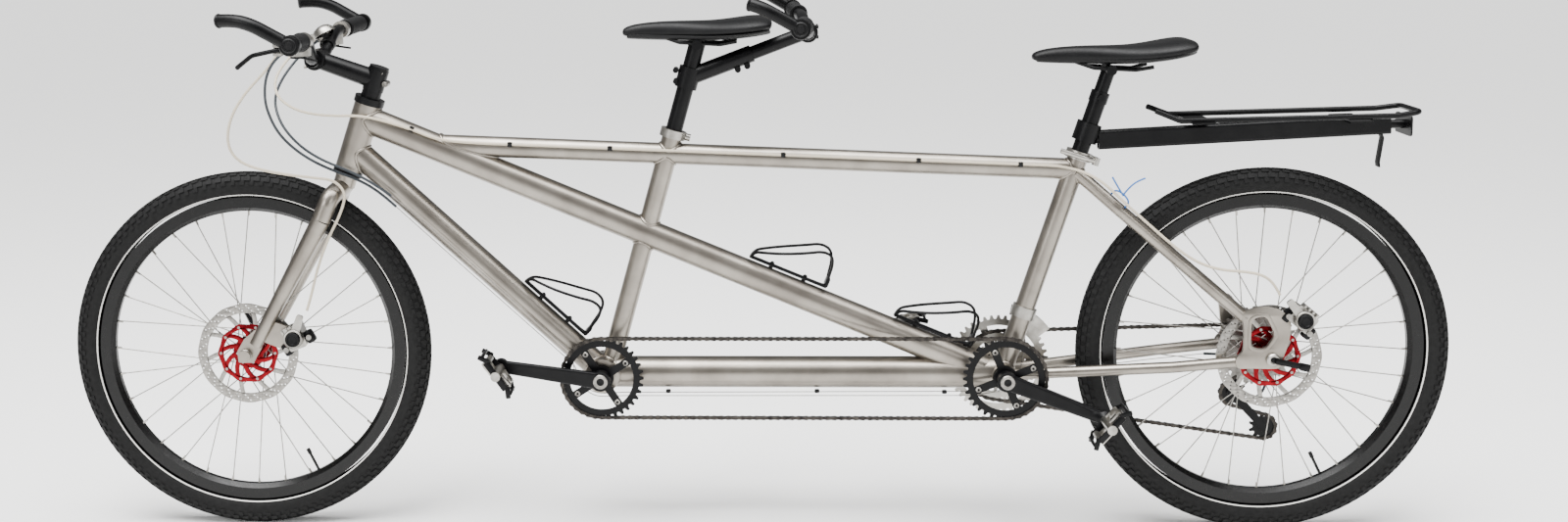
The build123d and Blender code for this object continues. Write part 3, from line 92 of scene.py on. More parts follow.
# %% Camera
yaw, pitch, roll = math.radians(2.82), math.radians(7.15), math.radians(0.63)
turn = Matrix.Rotation(yaw, 3, "Z") @ Matrix.Rotation(-pitch, 3, "X") @ Matrix.Rotation(roll, 3, "Y")
right, ahead, above = turn.col[0], turn.col[1], turn.col[2]
camera_matrix = Matrix((right, above, -ahead)).transposed().to_4x4()
camera_matrix.translation = Vector((0.002, -3.265, 1.144))
camera_data = bpy.data.cameras.new("camera")
camera_data.sensor_width = 36
camera_data.lens = 42.07
camera_data.shift_x = 0.0784
camera_data.shift_y = -0.0846
camera = bpy.data.objects.new("camera", camera_data)
camera.matrix_world = camera_matrix
bpy.context.collection.objects.link(camera)
bpy.context.scene.camera = camera
print("camera looks along", tuple(round(value, 3) for value in ahead))


# %% Colour, node and material helpers
def linear(hex_colour):
    """A linear RGBA colour from an sRGB hex string."""
    channels = [int(hex_colour[i : i + 2], 16) / 255 for i in (1, 3, 5)]
    return [c / 12.92 if c <= 0.04045 else ((c + 0.055) / 1.055) ** 2.4 for c in channels] + [1.0]


def add_node(tree, kind, links=(), **settings):
    """One node, with its attributes or sockets set, and its inputs linked from other nodes' outputs."""
    made = tree.nodes.new(kind)
    for name, value in settings.items():
        if hasattr(made, name):
            setattr(made, name, value)
        else:
            made.inputs[name.replace("_", " ")].default_value = value
    for socket, source in dict(links).items():
        tree.links.new(source, made.inputs[socket])
    return made


def start_material(name, base, metallic, roughness, **extra):
    """A material with its Principled shader's plain values set, its tree and that shader."""
    material = bpy.data.materials.new(name)
    material.use_nodes = True
    tree = material.node_tree
    shader = tree.nodes["Principled BSDF"]
    shader.inputs["Base Color"].default_value = linear(base)
    shader.inputs["Metallic"].default_value = metallic
    shader.inputs["Roughness"].default_value = roughness
    for socket, value in extra.items():
        shader.inputs[socket.replace("_", " ")].default_value = value
    return material, tree, shader


def speckle(tree, size_mm, detail=3.0, stretch=(1, 1, 1)):
    """Noise on object coordinates whose grains are about size_mm across."""
    where = add_node(tree, "ShaderNodeTexCoord").outputs["Object"]
    scaled = add_node(tree, "ShaderNodeMapping", {"Vector": where}, Scale=stretch).outputs["Vector"]
    return add_node(
        tree, "ShaderNodeTexNoise", {"Vector": scaled}, Scale=1000 / size_mm, Detail=detail,
    ).outputs["Fac"]


def ramp(tree, source, low, high, low_colour, high_colour):
    """A colour that runs between two colours as the source runs from low to high."""
    made = add_node(tree, "ShaderNodeValToRGB", {"Fac": source})
    made.color_ramp.elements[0].position = low
    made.color_ramp.elements[1].position = high
    made.color_ramp.elements[0].color = linear(low_colour)
    made.color_ramp.elements[1].color = linear(high_colour)
    return made.outputs["Color"]


def rough_between(tree, shader, source, low, high):
    """Roughness that varies between two values with a pattern."""
    spread = add_node(tree, "ShaderNodeMapRange", {"Value": source}, To_Min=low, To_Max=high)
    tree.links.new(spread.outputs["Result"], shader.inputs["Roughness"])


def bump(tree, shader, source, depth_mm, strength=1.0):
    """Fine relief of a real depth."""
    relief = add_node(tree, "ShaderNodeBump", {"Height": source}, Strength=strength, Distance=depth_mm * MM)
    tree.links.new(relief.outputs["Normal"], shader.inputs["Normal"])


# %% Floor, light and background
def studio_floor():
    """A wide pale floor."""
    bm = bmesh.new()
    bmesh.ops.create_grid(bm, x_segments=1, y_segments=1, size=40)
    mesh = bpy.data.meshes.new("floor")
    bm.to_mesh(mesh)
    bm.free()
    floor = bpy.data.objects.new("floor", mesh)
    bpy.context.collection.objects.link(floor)
    material, tree, shader = start_material(
        "seamless white paper", "#f7f7f6", 0.0, 0.95, Specular_IOR_Level=0.1,
    )
    mesh.materials.append(material)


def softbox(name, place, target, size, power):
    """A large soft light that faces a point."""
    data = bpy.data.lights.new(name, "AREA")
    data.shape = "RECTANGLE"
    data.size, data.size_y = size
    data.energy = power
    light = bpy.data.objects.new(name, data)
    light.location = place
    light.rotation_euler = (Vector(target) - Vector(place)).to_track_quat("-Z", "Y").to_euler()
    bpy.context.collection.objects.link(light)


def broad_sun(strength, spread):
    """One even light over the whole floor, soft as a cloudy sky."""
    data = bpy.data.lights.new("sky_light", "SUN")
    data.energy = strength
    data.angle = math.radians(spread)
    light = bpy.data.objects.new("sky_light", data)
    light.rotation_euler = (math.radians(18), math.radians(-12), 0)
    bpy.context.collection.objects.link(light)


studio_floor()
broad_sun(5.2, 40)
softbox("overhead", (0, -0.4, 3.6), (0, 0, 0.4), (6, 2.2), 330)
softbox("front_left", (-3.2, -4.2, 2.6), (0, 0, 0.5), (2, 2), 110)
softbox("front_right", (3.4, -4.4, 2.0), (0, 0, 0.5), (2, 2), 60)
world = bpy.data.worlds.new("studio")
world.use_nodes = True
world.node_tree.nodes["Background"].inputs["Color"].default_value = linear("#ffffff")
world.node_tree.nodes["Background"].inputs["Strength"].default_value = 0.3
bpy.context.scene.world = world

# %% [markdown]
# ## Finishes
#
# Each finish is named for what it really is. Bare aluminium is brushed and clear coated, so it is a metal
# with a soft sheen and faint streaks. Black parts are anodised or painted, and rubber is dark and dull.
# Metals keep the default index of refraction.


# %% Metals
def brushed_aluminium():
    """Brushed, clear coated 6061 aluminium: a warm silver with faint cloudy streaks."""
    material, tree, shader = start_material(
        "brushed 6061 aluminium", "#a39e95", 1.0, 0.34, Coat_Weight=0.15, Coat_Roughness=0.3,
    )
    cloud = speckle(tree, 60, 4, (1, 1, 1))
    tree.links.new(ramp(tree, cloud, 0.3, 0.7, "#7a746c", "#958f86"), shader.inputs["Base Color"])
    fine = speckle(tree, 1.5, 2)
    rough_between(tree, shader, fine, 0.28, 0.4)
    bump(tree, shader, fine, 0.02, 0.3)
    return material


def anodised_black():
    """Sand blasted and anodised aluminium: black with a satin gleam on its edges."""
    material, tree, shader = start_material(
        "black anodised aluminium", "#040405", 0.0, 0.32, Specular_IOR_Level=0.14,
    )
    grain = speckle(tree, 0.8, 2)
    tree.links.new(
        ramp(tree, speckle(tree, 25), 0.35, 0.7, "#030304", "#080809"), shader.inputs["Base Color"],
    )
    rough_between(tree, shader, grain, 0.28, 0.42)
    bump(tree, shader, grain, 0.02, 0.5)
    return material


def glossy_black():
    """Powder coated aluminium: black, smooth and shiny, as on rims."""
    material, tree, shader = start_material(
        "black powder coat", "#030303", 0.0, 0.25, Specular_IOR_Level=0.25,
    )
    rough_between(tree, shader, speckle(tree, 9, 3), 0.2, 0.38)
    return material


def satin_silver():
    """Forged and tumbled aluminium: brighter than the tubes, for levers, calipers and clamps."""
    material, tree, shader = start_material("tumbled forged aluminium", "#a5a29c", 1.0, 0.28)
    tree.links.new(
        ramp(tree, speckle(tree, 18), 0.3, 0.75, "#8b8882", "#b3b0aa"), shader.inputs["Base Color"],
    )
    rough_between(tree, shader, speckle(tree, 2), 0.24, 0.42)
    return material


def red_anodised():
    """Bright red anodised aluminium, as on the hubs and disc carriers."""
    material, tree, shader = start_material("red anodised aluminium", "#6d0610", 0.9, 0.3)
    tree.links.new(ramp(tree, speckle(tree, 14), 0.3, 0.7, "#5a040b", "#7c0b16"), shader.inputs["Base Color"])
    rough_between(tree, shader, speckle(tree, 1.2), 0.22, 0.36)
    return material


def stainless():
    """Drawn and ground stainless steel, for spokes, discs and bolts."""
    material, tree, shader = start_material("ground stainless steel", "#8d8a85", 1.0, 0.33)
    tree.links.new(ramp(tree, speckle(tree, 6), 0.3, 0.7, "#75726d", "#9b9893"), shader.inputs["Base Color"])
    rough_between(tree, shader, speckle(tree, 1), 0.26, 0.46)
    return material


def oiled_steel():
    """Blackened, oiled chain steel, greasy in patches."""
    material, tree, shader = start_material("oiled chain steel", "#35322f", 0.9, 0.36)
    tree.links.new(ramp(tree, speckle(tree, 7), 0.3, 0.7, "#1c1a19", "#45413d"), shader.inputs["Base Color"])
    rough_between(tree, shader, speckle(tree, 3), 0.28, 0.55)
    return material


# %% Rubber, plastic and cover material
def tyre_rubber():
    """Carbon black rubber: near black and dull, with dust in its fine grain."""
    material, tree, shader = start_material(
        "vulcanised tyre rubber", "#0a0a0a", 0.0, 0.7, Specular_IOR_Level=0.2,
    )
    tree.links.new(
        ramp(tree, speckle(tree, 8, 5), 0.3, 0.75, "#050505", "#111111"), shader.inputs["Base Color"],
    )
    grain = speckle(tree, 1.2, 3)
    rough_between(tree, shader, grain, 0.6, 0.85)
    bump(tree, shader, grain, 0.12, 0.6)
    return material


def reflecting_band():
    """Glass beaded reflecting tape, a pale grey band on each tyre wall."""
    material, tree, shader = start_material("glass bead reflecting tape", "#d8d6d1", 0.0, 0.5)
    bump(tree, shader, speckle(tree, 0.8), 0.05, 0.5)
    return material


def grip_rubber():
    """Moulded synthetic rubber, softer and blacker than a tyre."""
    material, tree, shader = start_material(
        "moulded grip rubber", "#050506", 0.0, 0.5, Specular_IOR_Level=0.16,
    )
    grain = speckle(tree, 0.9, 2)
    rough_between(tree, shader, grain, 0.5, 0.7)
    bump(tree, shader, grain, 0.06, 0.6)
    return material


def moulded_plastic(name, base, roughness=0.5):
    """Injection moulded plastic with a faint spark eroded texture."""
    material, tree, shader = start_material(name, base, 0.0, roughness, Specular_IOR_Level=0.2)
    grain = speckle(tree, 0.7, 2)
    bump(tree, shader, grain, 0.03, 0.5)
    rough_between(tree, shader, grain, roughness - 0.06, roughness + 0.1)
    return material


def saddle_cover():
    """Embossed synthetic leather over foam: small pebbles, a soft gleam, and faint random patches of tone."""
    material, tree, shader = start_material(
        "embossed synthetic leather", "#050506", 0.0, 0.4, Specular_IOR_Level=0.16,
    )
    where = add_node(tree, "ShaderNodeTexCoord").outputs["Object"]
    pebbles = add_node(tree, "ShaderNodeTexVoronoi", {"Vector": where}, Scale=1000 / 1.6).outputs["Distance"]
    bump(tree, shader, pebbles, 0.12, 0.7)
    tree.links.new(
        ramp(tree, speckle(tree, 30, 4), 0.35, 0.75, "#040405", "#0b0b0c"), shader.inputs["Base Color"],
    )
    rough_between(tree, shader, speckle(tree, 5), 0.36, 0.58)
    return material


finishes = {
    "frame_aluminium": brushed_aluminium(),
    "black_alloy": anodised_black(),
    "gloss_black_alloy": glossy_black(),
    "bare_alloy": satin_silver(),
    "red_alloy": red_anodised(),
    "stainless": stainless(),
    "chain_steel": oiled_steel(),
    "tyre_rubber": tyre_rubber(),
    "grip_rubber": grip_rubber(),
    "saddle_cover": saddle_cover(),
    "black_plastic": moulded_plastic("glass filled nylon", "#060607", 0.48),
    "light_housing": moulded_plastic("pale PVC cable sleeve", "#b8ae9c", 0.4),
    "dark_housing": moulded_plastic("dark PVC cable sleeve", "#2f3337", 0.4),
}
extra = {"reflecting": reflecting_band(), "blue_nylon": moulded_plastic("blue nylon tie", "#2f5f9e", 0.45)}

# %% Give each CAD node the finish of its slot
slots = {part["node"]: part["material_slot"] for part in frame["record"]["subparts"]}
for node_name, obj in frame["nodes"].items():
    for index in range(max(1, len(obj.material_slots))):
        if not obj.material_slots:
            obj.data.materials.append(finishes[slots[node_name]])
        obj.material_slots[index].material = finishes[slots[node_name]]
print(len(frame["nodes"]), "nodes have a finish")

# %% [markdown]
# ## Small helpers for shapes
#
# Round things are a profile spun about an axle. Flat things, such as chainrings and discs, are closed
# outlines with holes, filled and given a thickness. Repeated things are one copy spun round in steps.


# %% Make a piece from a bmesh, a profile or an outline
def finish_mesh(bm, name, sharp=35):
    """A mesh from a bmesh: normals outwards, smooth with sharp creases."""
    bmesh.ops.recalc_face_normals(bm, faces=bm.faces)
    mesh = bpy.data.meshes.new(name)
    bm.to_mesh(mesh)
    bm.free()
    for face in mesh.polygons:
        face.use_smooth = True
    mesh.set_sharp_from_angle(angle=math.radians(sharp))
    return mesh


def place(name, data, body, finish, stands_for=()):
    """A new piece from a mesh or curve, with its finish, that rides a body."""
    obj = bpy.data.objects.new(name, data)
    bpy.context.collection.objects.link(obj)
    material = extra[finish] if finish in extra else finishes[finish]
    data.materials.clear()
    data.materials.append(material)
    if body:
        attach(obj, body)
    if stands_for:
        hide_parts(*stands_for)
    return obj


def spin_profile(bm, profile, centre, steps, closed=True):
    """Spins a profile of (y, r) points about the Y axis through centre."""
    verts = [bm.verts.new(centre + Vector((0, y, r))) for y, r in profile]
    pairs = list(zip(verts, verts[1:] + verts[:1])) if closed else list(zip(verts, verts[1:]))
    edges = [bm.edges.new(pair) for pair in pairs]
    bmesh.ops.spin(
        bm, geom=verts + edges, cent=centre, axis=(0, 1, 0), angle=2 * math.pi, steps=steps, use_merge=True
    )
    bmesh.ops.remove_doubles(bm, verts=bm.verts, dist=1e-6)


def repeat_round(bm, geometry, centre, count):
    """Copies geometry round the Y axis through centre, count times in all."""
    bmesh.ops.spin(
        bm, geom=geometry, cent=centre, axis=(0, 1, 0), angle=2 * math.pi * (count - 1) / count,
        steps=count - 1, use_duplicate=True,
    )


def block(bm, size, matrix, bevel=0.0):
    """A box with softened edges, placed by a matrix; returns its geometry."""
    made = bmesh.ops.create_cube(bm, size=1)
    verts = made["verts"]
    bmesh.ops.scale(bm, vec=size, verts=verts)
    if bevel:
        edges = list({edge for vert in verts for edge in vert.link_edges})
        cut = bmesh.ops.bevel(
            bm, geom=edges, offset=bevel, segments=2, profile=0.5, affect="EDGES", clamp_overlap=True,
            material=-1,
        )
        verts = list(
            {vert for face in cut["faces"] for vert in face.verts} | {v for v in verts if v.is_valid}
        )
    bmesh.ops.transform(bm, matrix=matrix, verts=verts)
    return verts


def whole(verts):
    """Vertices with their edges and faces, as spin wants them."""
    edges = {edge for vert in verts for edge in vert.link_edges}
    faces = {face for vert in verts for face in vert.link_faces}
    return list(verts) + list(edges) + list(faces)


def cylinder(bm, start, end, radius, sides=16, end_radius=None):
    """A round bar between two points."""
    start, end = Vector(start), Vector(end)
    along = end - start
    matrix = Matrix.Translation((start + end) / 2) @ along.to_track_quat("Z", "Y").to_matrix().to_4x4()
    made = bmesh.ops.create_cone(
        bm, cap_ends=True, segments=sides, radius1=radius,
        radius2=radius if end_radius is None else end_radius, depth=along.length, matrix=matrix,
    )
    return made["verts"]


def outline_plate(name, loops, thickness, centre, bevel=0.0):
    """A flat plate facing the side, from closed loops of (x, z) about centre; inner loops are holes."""
    curve = bpy.data.curves.new(name, "CURVE")
    curve.dimensions = "2D"
    curve.fill_mode = "BOTH"
    curve.extrude = max(thickness / 2 - bevel, 0.0)
    curve.bevel_depth = bevel
    curve.bevel_resolution = 1
    for loop in loops:
        spline = curve.splines.new("POLY")
        spline.points.add(len(loop) - 1)
        for point, (x, z) in zip(spline.points, loop):
            point.co = (x, z, 0, 1)
        spline.use_cyclic_u = True
    holder = bpy.data.objects.new(name, curve)
    bpy.context.collection.objects.link(holder)
    bpy.context.view_layer.update()
    mesh = bpy.data.meshes.new_from_object(holder.evaluated_get(bpy.context.evaluated_depsgraph_get()))
    bpy.data.objects.remove(holder)
    mesh.transform(Matrix.Translation(centre) @ Matrix.Rotation(math.pi / 2, 4, "X"))
    bm = bmesh.new()
    bm.from_mesh(mesh)
    bmesh.ops.remove_doubles(bm, verts=bm.verts, dist=1e-6)
    return bm


def ring_points(radius, count, phase=0.0, wave=0.0, waves=0):
    """Points round a circle, which may be wavy."""
    points = []
    for index in range(count):
        angle = 2 * math.pi * index / count + phase
        reach = radius + wave * math.cos(waves * angle)
        points.append((reach * math.cos(angle), reach * math.sin(angle)))
    return points


def wire(name, points, radius, body, finish, stands_for=(), closed=False):
    """A round wire or cable on a smooth line through the middle of its control points."""
    curve = bpy.data.curves.new(name, "CURVE")
    curve.dimensions = "3D"
    curve.bevel_depth = radius
    curve.bevel_resolution = 3
    curve.use_fill_caps = True
    spline = curve.splines.new("NURBS")
    spline.points.add(len(points) - 1)
    for point, place_at in zip(spline.points, points):
        point.co = (*place_at, 1)
    spline.order_u = 3
    spline.use_endpoint_u = not closed
    spline.use_cyclic_u = closed
    spline.resolution_u = 6
    return place(name, curve, body, finish, stands_for)


# %% [markdown]
# ## Cables
#
# Two pale brake cables and two dark shift cables run from the levers. One brake cable loops forward and
# down to the fork, and the other runs along the top tube to the rear disc. A cable's line is a NURBS curve,
# because a sleeve bends evenly. The lengths that cross the steering joint are fixed meshes that ride no body.

# %% Cable routes in millimetres
front_brake_route = [
    (-816, -113, 892), (-824, -92, 884), (-850, -80, 852), (-893, -84, 808), (-918, -92, 764),
    (-924, -92, 718), (-905, -88, 688), (-865, -80, 672), (-818, -69, 662), (-778, -58, 655),
    (-744, -50, 650), (-723, -50, 626), (-733, -54, 590), (-757, -56, 545), (-778, -58, 490),
    (-790, -61, 440), (-798, -66, 414),
]
rear_brake_crossing = [
    (-816, 113, 892), (-824, 92, 884), (-852, 62, 856), (-868, 30, 822), (-856, 5, 795), (-828, -14, 777),
    (-790, -24, 766), (-744, -31, 763), (-704, -32, 764), (-667, -29, 757), (-639, -26, 748),
]
left_shift_crossing = [
    (-806, -122, 887), (-826, -116, 874), (-846, -108, 842), (-852, -98, 800), (-848, -84, 769),
    (-838, -66, 737), (-818, -50, 709), (-788, -38, 684), (-751, -33, 665), (-704, -33, 648),
    (-665, -31, 624), (-638, -26, 597),
]
right_shift_crossing = [
    (-806, 122, 887), (-828, 108, 870), (-850, 84, 842), (-862, 52, 816), (-864, 18, 792), (-855, -10, 770),
    (-841, -26, 746), (-822, -34, 724), (-798, -38, 703), (-765, -39, 683), (-720, -38, 665),
    (-680, -36, 644), (-645, -33, 618),
]
rear_brake_route = [
    (-639, -26, 748), (-607, -22.6, 738), (-564, -23, 719), (-500, -22, 712), (-430, -22, 709),
    (490, -22, 669), (560, -22, 666), (612, -42, 649), (655, -62, 607), (700, -71, 566), (742, -79, 529),
    (780, -84, 503), (820, -87, 491), (860, -89, 489), (891, -89, 483), (911, -89, 467), (921, -89, 447),
]
left_shift_route = [
    (-638, -26, 597), (-611, -21, 570), (-330, -19, 311), (-318, -19, 300), (-312, -17, 268),
    (-282, -14, 247), (-240, -12, 250), (-200, -12, 250), (400, -8, 252), (430, -8, 252), (466, -1, 255),
    (484, 5, 270), (492, 8, 302), (497, 16, 336), (500, 23, 364),
]
right_shift_route = [
    (-645, -33, 618), (-605, -29.6, 588), (-335, -26, 336), (-324, -26, 326), (-319, -24, 281),
    (-290, -20, 243), (-240, -17, 245), (-200, -17, 245), (370, -15, 246), (400, -15, 246), (468, 9, 250),
    (520, 30, 275), (745, 64, 296), (832, 69, 303),
]
derailleur_loop = [
    (832, 69, 303), (864, 81, 299), (899, 100, 293), (934, 113, 281), (957, 114, 257), (957, 108, 230),
    (939, 101, 210), (916, 97, 206),
]


# %% Make the cables
def metres(route):
    """A route in metres."""
    return [tuple(value * MM for value in point) for point in route]


def sleeve_mesh(name, route, radius):
    """A cable as a mesh, for one that crosses the steering joint."""
    holder = wire(name, metres(route), radius * MM, None, "dark_housing")
    bpy.context.view_layer.update()
    mesh = bpy.data.meshes.new_from_object(holder.evaluated_get(bpy.context.evaluated_depsgraph_get()))
    bpy.data.objects.remove(holder)
    return mesh


def crossing_cable(name, route, finish, stands_for=()):
    """A cable from the handlebar to the frame."""
    obj = place(name, sleeve_mesh(name + "_line", route, 2.5), None, finish, stands_for)
    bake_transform(obj)
    return obj


wire(
    "front_brake_sleeve", metres(front_brake_route), 2.5 * MM, "steering", "light_housing",
    ["front_brake_cable"],
)
wire("rear_brake_sleeve", metres(rear_brake_route), 2.5 * MM, "frame", "light_housing", ["frame_cables"])
wire("left_shift_wire", metres(left_shift_route), 0.8 * MM, "frame", "stainless")
wire("right_shift_wire", metres(right_shift_route), 0.8 * MM, "frame", "stainless")
wire("derailleur_sleeve", metres(derailleur_loop), 2.5 * MM, "frame", "dark_housing")
crossing_cable("rear_brake_lead", rear_brake_crossing, "light_housing", ["steering_cables"])
crossing_cable("left_shift_lead", left_shift_crossing, "dark_housing")
crossing_cable("right_shift_lead", right_shift_crossing, "dark_housing")
print("cables made")

# %% [markdown]
# ## Tyres
#
# A tyre is an open round section with square shoulder blocks and a pale reflecting band on each wall.
# The section is spun about the axle, one block of each row is made, and each block is spun round in steps.
# The tread rows are staggered, as moulded tyres are.

# %% Tyres
tyre_low, tyre_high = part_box("front_tyre")
tyre_radius = (tyre_high[0] - tyre_low[0]) / 2
tyre_half = 25 * MM
casing = 23.2 * MM
section_radius = tyre_radius - tyre_half


def on_casing(angle, lift=0.0):
    """The (y, r) point on the tyre's section at an angle in degrees from its top."""
    turned = math.radians(angle)
    return ((casing + lift) * math.sin(turned), section_radius + (casing + lift) * math.cos(turned))


def tread_row(bm, centre, angle, size, count, offset):
    """One row of tread blocks at an angle on the section."""
    y, r = on_casing(angle, size[2] / 2 - 0.3 * MM)
    lean = Matrix.Rotation(math.radians(angle), 4, "X")
    around = Matrix.Rotation(2 * math.pi * offset / count, 4, "Y")
    matrix = Matrix.Translation(centre) @ around @ Matrix.Translation((0, y, r)) @ lean.inverted()
    repeat_round(bm, whole(block(bm, size, matrix)), centre, count)


def tyre(name, centre, body, node):
    """A tyre's casing, its tread and its two reflecting bands."""
    bm = bmesh.new()
    outer = [on_casing(angle) for angle in range(-142, 143, 8)]
    inner = [on_casing(angle, -3 * MM) for angle in range(142, -143, -12)]
    spin_profile(bm, outer + inner, centre, 160)
    rows = (
        (9, 6.6, 14.0), (-9, 6.6, 14.0), (29, 6.6, 12.5), (-29, 6.6, 12.5), (52, 9.0, 11.0),
        (-52, 9.0, 11.0), (74, 6.0, 8.0), (-74, 6.0, 8.0),
    )
    for index, (angle, across, length) in enumerate(rows):
        stagger = (index // 2 % 2) / 2 + 0.25 * (angle < 0)
        tread_row(bm, centre, angle, (length * MM, across * MM, 2.2 * MM), 112, stagger)
    place(name, finish_mesh(bm, name, 40), body, "tyre_rubber", [node])
    for side in (-1, 1):
        bm = bmesh.new()
        band = [
            on_casing(side * 131, -0.4 * MM), on_casing(side * 132, 0.5 * MM),
            on_casing(side * 137, 0.5 * MM), on_casing(side * 138, -0.4 * MM),
        ]
        spin_profile(bm, band, centre, 160)
        place(
            f"{name}_band_{'left' if side < 0 else 'right'}", finish_mesh(bm, name + "_band", 40), body,
            "reflecting",
        )


tyre("front_tyre_tread", front_axle, "front_wheel", "front_tyre")
tyre("rear_tyre_tread", rear_axle, "rear_wheel", "rear_tyre")
print("tyre radius", round(tyre_radius, 4))

# %% [markdown]
# ## Rims, spokes and hubs
#
# The rims, spokes and hubs keep their modelled shape, because it is already true. What they lack is small:
# a bare alloy nipple where each spoke enters the rim, and a valve stem opposite the rim's joint. Each nipple
# is a tiny cone with a few sides, placed by turning it about the axle.

# %% Nipples and valves
rim_inner_radius = 257 * MM
spoke_count = 32


def nipples_and_valve(name, centre, body):
    """A nipple for each spoke, and the wheel's valve."""
    bm = bmesh.new()
    top = centre + Vector((0, 0, rim_inner_radius))
    repeat_round(
        bm, whole(cylinder(bm, top + Vector((0, 0, -9 * MM)), top, 1.5 * MM, 8, 2.4 * MM)), centre,
        spoke_count,
    )
    place(f"{name}_nipples", finish_mesh(bm, name), body, "bare_alloy")
    bm = bmesh.new()
    lean = Matrix.Translation(centre) @ Matrix.Rotation(
        math.radians(154), 4, "Y",
    ) @ Matrix.Translation(-centre)
    stem = cylinder(bm, top + Vector((0, 0, -40 * MM)), top, 2.6 * MM, 12)
    stem += cylinder(bm, top + Vector((0, 0, -44 * MM)), top + Vector((0, 0, -34 * MM)), 3.6 * MM, 12)
    bmesh.ops.transform(bm, matrix=lean, verts=stem)
    place(f"{name}_valve", finish_mesh(bm, name), body, "black_plastic")


nipples_and_valve("front", front_axle, "front_wheel")
nipples_and_valve("rear", rear_axle, "rear_wheel")

# %% [markdown]
# ## Disc rotors
#
# A rotor is two pieces: a ground steel ring with a wavy edge and slanted rows of vent holes, riveted to
# a red carrier with curved arms. Both are flat outlines with holes, given their real thickness.

# %% Rotors
rotor_outer, rotor_inner = 92.5 * MM, 75 * MM
carrier_outer, carrier_inner = 54 * MM, 22 * MM


def vent_holes(rows=30):
    """Vent holes in slanted rows of three round the steel ring."""
    holes = []
    for row in range(rows):
        for step in range(3):
            angle = 2 * math.pi * (row + 0.28 * step) / rows
            reach = rotor_inner + (4.2 + 4.6 * step) * MM
            middle_x, middle_z = reach * math.cos(angle), reach * math.sin(angle)
            holes.append([(middle_x + x, middle_z + z) for x, z in ring_points(1.7 * MM, 8)])
    return holes


def arm_outline(inner, outer, width, angle, sweep):
    """A curved arm between two radii, which leans by sweep degrees over its length."""
    edge = []
    for side in (1, -1):
        for step in range(5) if side > 0 else range(4, -1, -1):
            share = step / 4
            reach = inner + (outer - inner) * share
            turned = angle + math.radians(sweep) * share
            across = side * width / 2 / reach
            edge.append((reach * math.cos(turned + across), reach * math.sin(turned + across)))
    return edge


def plates(name, outlines, thickness, centre, bevel, body, finish, stands_for=()):
    """One piece made of several flat outlines at the same place."""
    whole_bm = bmesh.new()
    for loops in outlines:
        part = outline_plate(name, loops, thickness, centre, bevel)
        mesh = bpy.data.meshes.new(name)
        part.to_mesh(mesh)
        part.free()
        whole_bm.from_mesh(mesh)
        bpy.data.meshes.remove(mesh)
    return place(name, finish_mesh(whole_bm, name), body, finish, stands_for)


def rotor(name, node, body, axle):
    """A disc rotor: the steel ring, its steel arms and the red carrier."""
    centre = Vector((axle[0], middle(node)[1], axle[2]))
    ring = [
        ring_points(rotor_outer - 0.6 * MM, 180, 0, 0.6 * MM, 12), ring_points(rotor_inner, 96),
        *vent_holes(),
    ]
    tabs = [
        [arm_outline(carrier_outer - 4 * MM, rotor_inner + 1.5 * MM, 8 * MM, math.tau * i / 10, 9)]
        for i in range(10)
    ]
    plates(f"{name}_ring", [ring, *tabs], 2 * MM, centre, 0.2 * MM, body, "stainless", [node])
    arms = [
        [arm_outline(carrier_inner - 1 * MM, carrier_outer - 6 * MM, 9 * MM, math.tau * i / 10, 30)]
        for i in range(10)
    ]
    rim_ring = [ring_points(carrier_outer, 96, 0, 1.2 * MM, 10), ring_points(carrier_outer - 8 * MM, 72)]
    boss = [ring_points(carrier_inner, 48), ring_points(16.5 * MM, 48)]
    plates(f"{name}_carrier", [rim_ring, boss, *arms], 3.4 * MM, centre, 0.4 * MM, body, "red_alloy")
    bm = bmesh.new()
    rivet = centre + Vector((carrier_outer - 4 * MM, 0, 0))
    repeat_round(
        bm,
        whole(
            cylinder(bm, rivet - Vector((0, 2.4 * MM, 0)), rivet + Vector((0, 2.4 * MM, 0)), 2.6 * MM, 10)
        ),
        centre, 10,
    )
    bolt = centre + Vector((carrier_inner - 3.4 * MM, 0, 0))
    repeat_round(
        bm,
        whole(cylinder(bm, bolt - Vector((0, 3.6 * MM, 0)), bolt + Vector((0, 2.4 * MM, 0)), 2.8 * MM, 6)),
        centre, 6,
    )
    place(f"{name}_rivets", finish_mesh(bm, name), body, "stainless")


rotor("front_disc", "front_rotor", "front_wheel", front_axle)
rotor("rear_disc", "rear_rotor", "rear_wheel", rear_axle)
print("rotors made")

# %% [markdown]
# ## Chains
#
# A roller chain is pairs of plates with pinched waists, joined by pins half an inch apart. One outer link
# and one inner link have few faces, because there are hundreds. Each is placed along the loop's
# line, which is worked out from the sprockets' centres and radii, as the chain itself finds it.

# %% Chain links
chain_pitch = 12.7 * MM
timing_teeth, middle_teeth, cog_teeth, pulley_teeth = 36, 32, 17, 11
timing_line, drive_line = -49 * MM, 48 * MM


def pitch_radius(teeth):
    """The radius at which a chain wraps a sprocket."""
    return chain_pitch / (2 * math.sin(math.pi / teeth))


